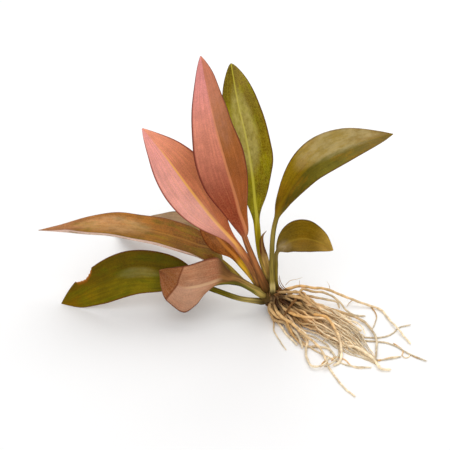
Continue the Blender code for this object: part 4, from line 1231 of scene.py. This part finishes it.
def make_roots():
    """The main roots, the hair roots, the dry fibres and the crown."""
    group = root_skin_group()
    make_main_roots(root_material("root_skin", group))
    hairs = threads("hair", HAIR_ROUTES, 1.3, HAIR_BEND)
    hair = join_pieces(hairs + fan_strands(), "hair_roots")
    hair.data.materials.append(root_material("hair_root_skin", group))
    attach(hair, "root")
    fibres = threads("fibre", FIBRE_ROUTES, 1.9, FIBRE_BEND)
    hugging = [(*CROWN_FIBRE_RADIUS, crown_fibre(number)) for number in range(CROWN_FIBRE_COUNT)]
    fibre = join_pieces(fibres + threads("fibre", hugging, 1.7, CROWN_FIBRE_BEND), "dry_fibres")
    fibre.data.materials.append(root_material("fibre_skin", group))
    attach(fibre, "root")
    crown = wrapped_grid("crown_grown", CROWN_AROUND, CROWN_ALONG, crown_wrap)
    crown.data.materials.append(root_material("crown_skin", group))
    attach(crown, "root")
    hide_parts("crown")


def make_camera():
    """The camera that sees the plant as the photo does."""
    elevation = math.radians(CAMERA_ELEVATION)
    up = Vector((0, math.sin(elevation), math.cos(elevation)))
    back = Vector((0, -math.cos(elevation), math.sin(elevation)))
    target = Vector(CROWN)
    target += Vector((1, 0, 0)) * (PICTURE_MIDDLE - CROWN_PIXEL[0]) * PIXEL
    target += up * (CROWN_PIXEL[1] - PICTURE_MIDDLE) * PIXEL
    camera = bpy.data.objects.new("camera", bpy.data.cameras.new("camera"))
    bpy.context.collection.objects.link(camera)
    camera.data.lens = CAMERA_LENS
    camera.data.clip_start = 0.01
    camera.location = (target + back * CAMERA_DISTANCE) * MM
    camera.rotation_euler = (math.pi / 2 - elevation, 0, 0)
    bpy.context.scene.camera = camera


def make_stage():
    """The white table and the soft lights over it."""
    bpy.ops.mesh.primitive_plane_add(size=TABLE_SIZE, location=(0, 0, 0))
    floor = bpy.context.object
    floor.name = "table"
    paint, tree, shader = new_material("table_paint")
    feed(tree, shader, TABLE_PAINT)
    floor.data.materials.append(paint)

    world = bpy.data.worlds.new("studio")
    world.use_nodes = True
    sky = world.node_tree.nodes["Background"]
    feed(world.node_tree, sky, {"Color": (1, 1, 1, 1), "Strength": SKY_STRENGTH})
    bpy.context.scene.world = world
    for name, (place, size, power) in LIGHTS.items():
        light = bpy.data.lights.new(name, "AREA")
        light.size = size
        light.energy = power
        lamp = bpy.data.objects.new(name, light)
        lamp.location = place
        lamp.rotation_euler = (-Vector(place)).to_track_quat("-Z", "Y").to_euler()
        bpy.context.collection.objects.link(lamp)
    bpy.context.scene.view_settings.view_transform = "Standard"


make_camera()
make_stage()
make_leaves()
make_roots()
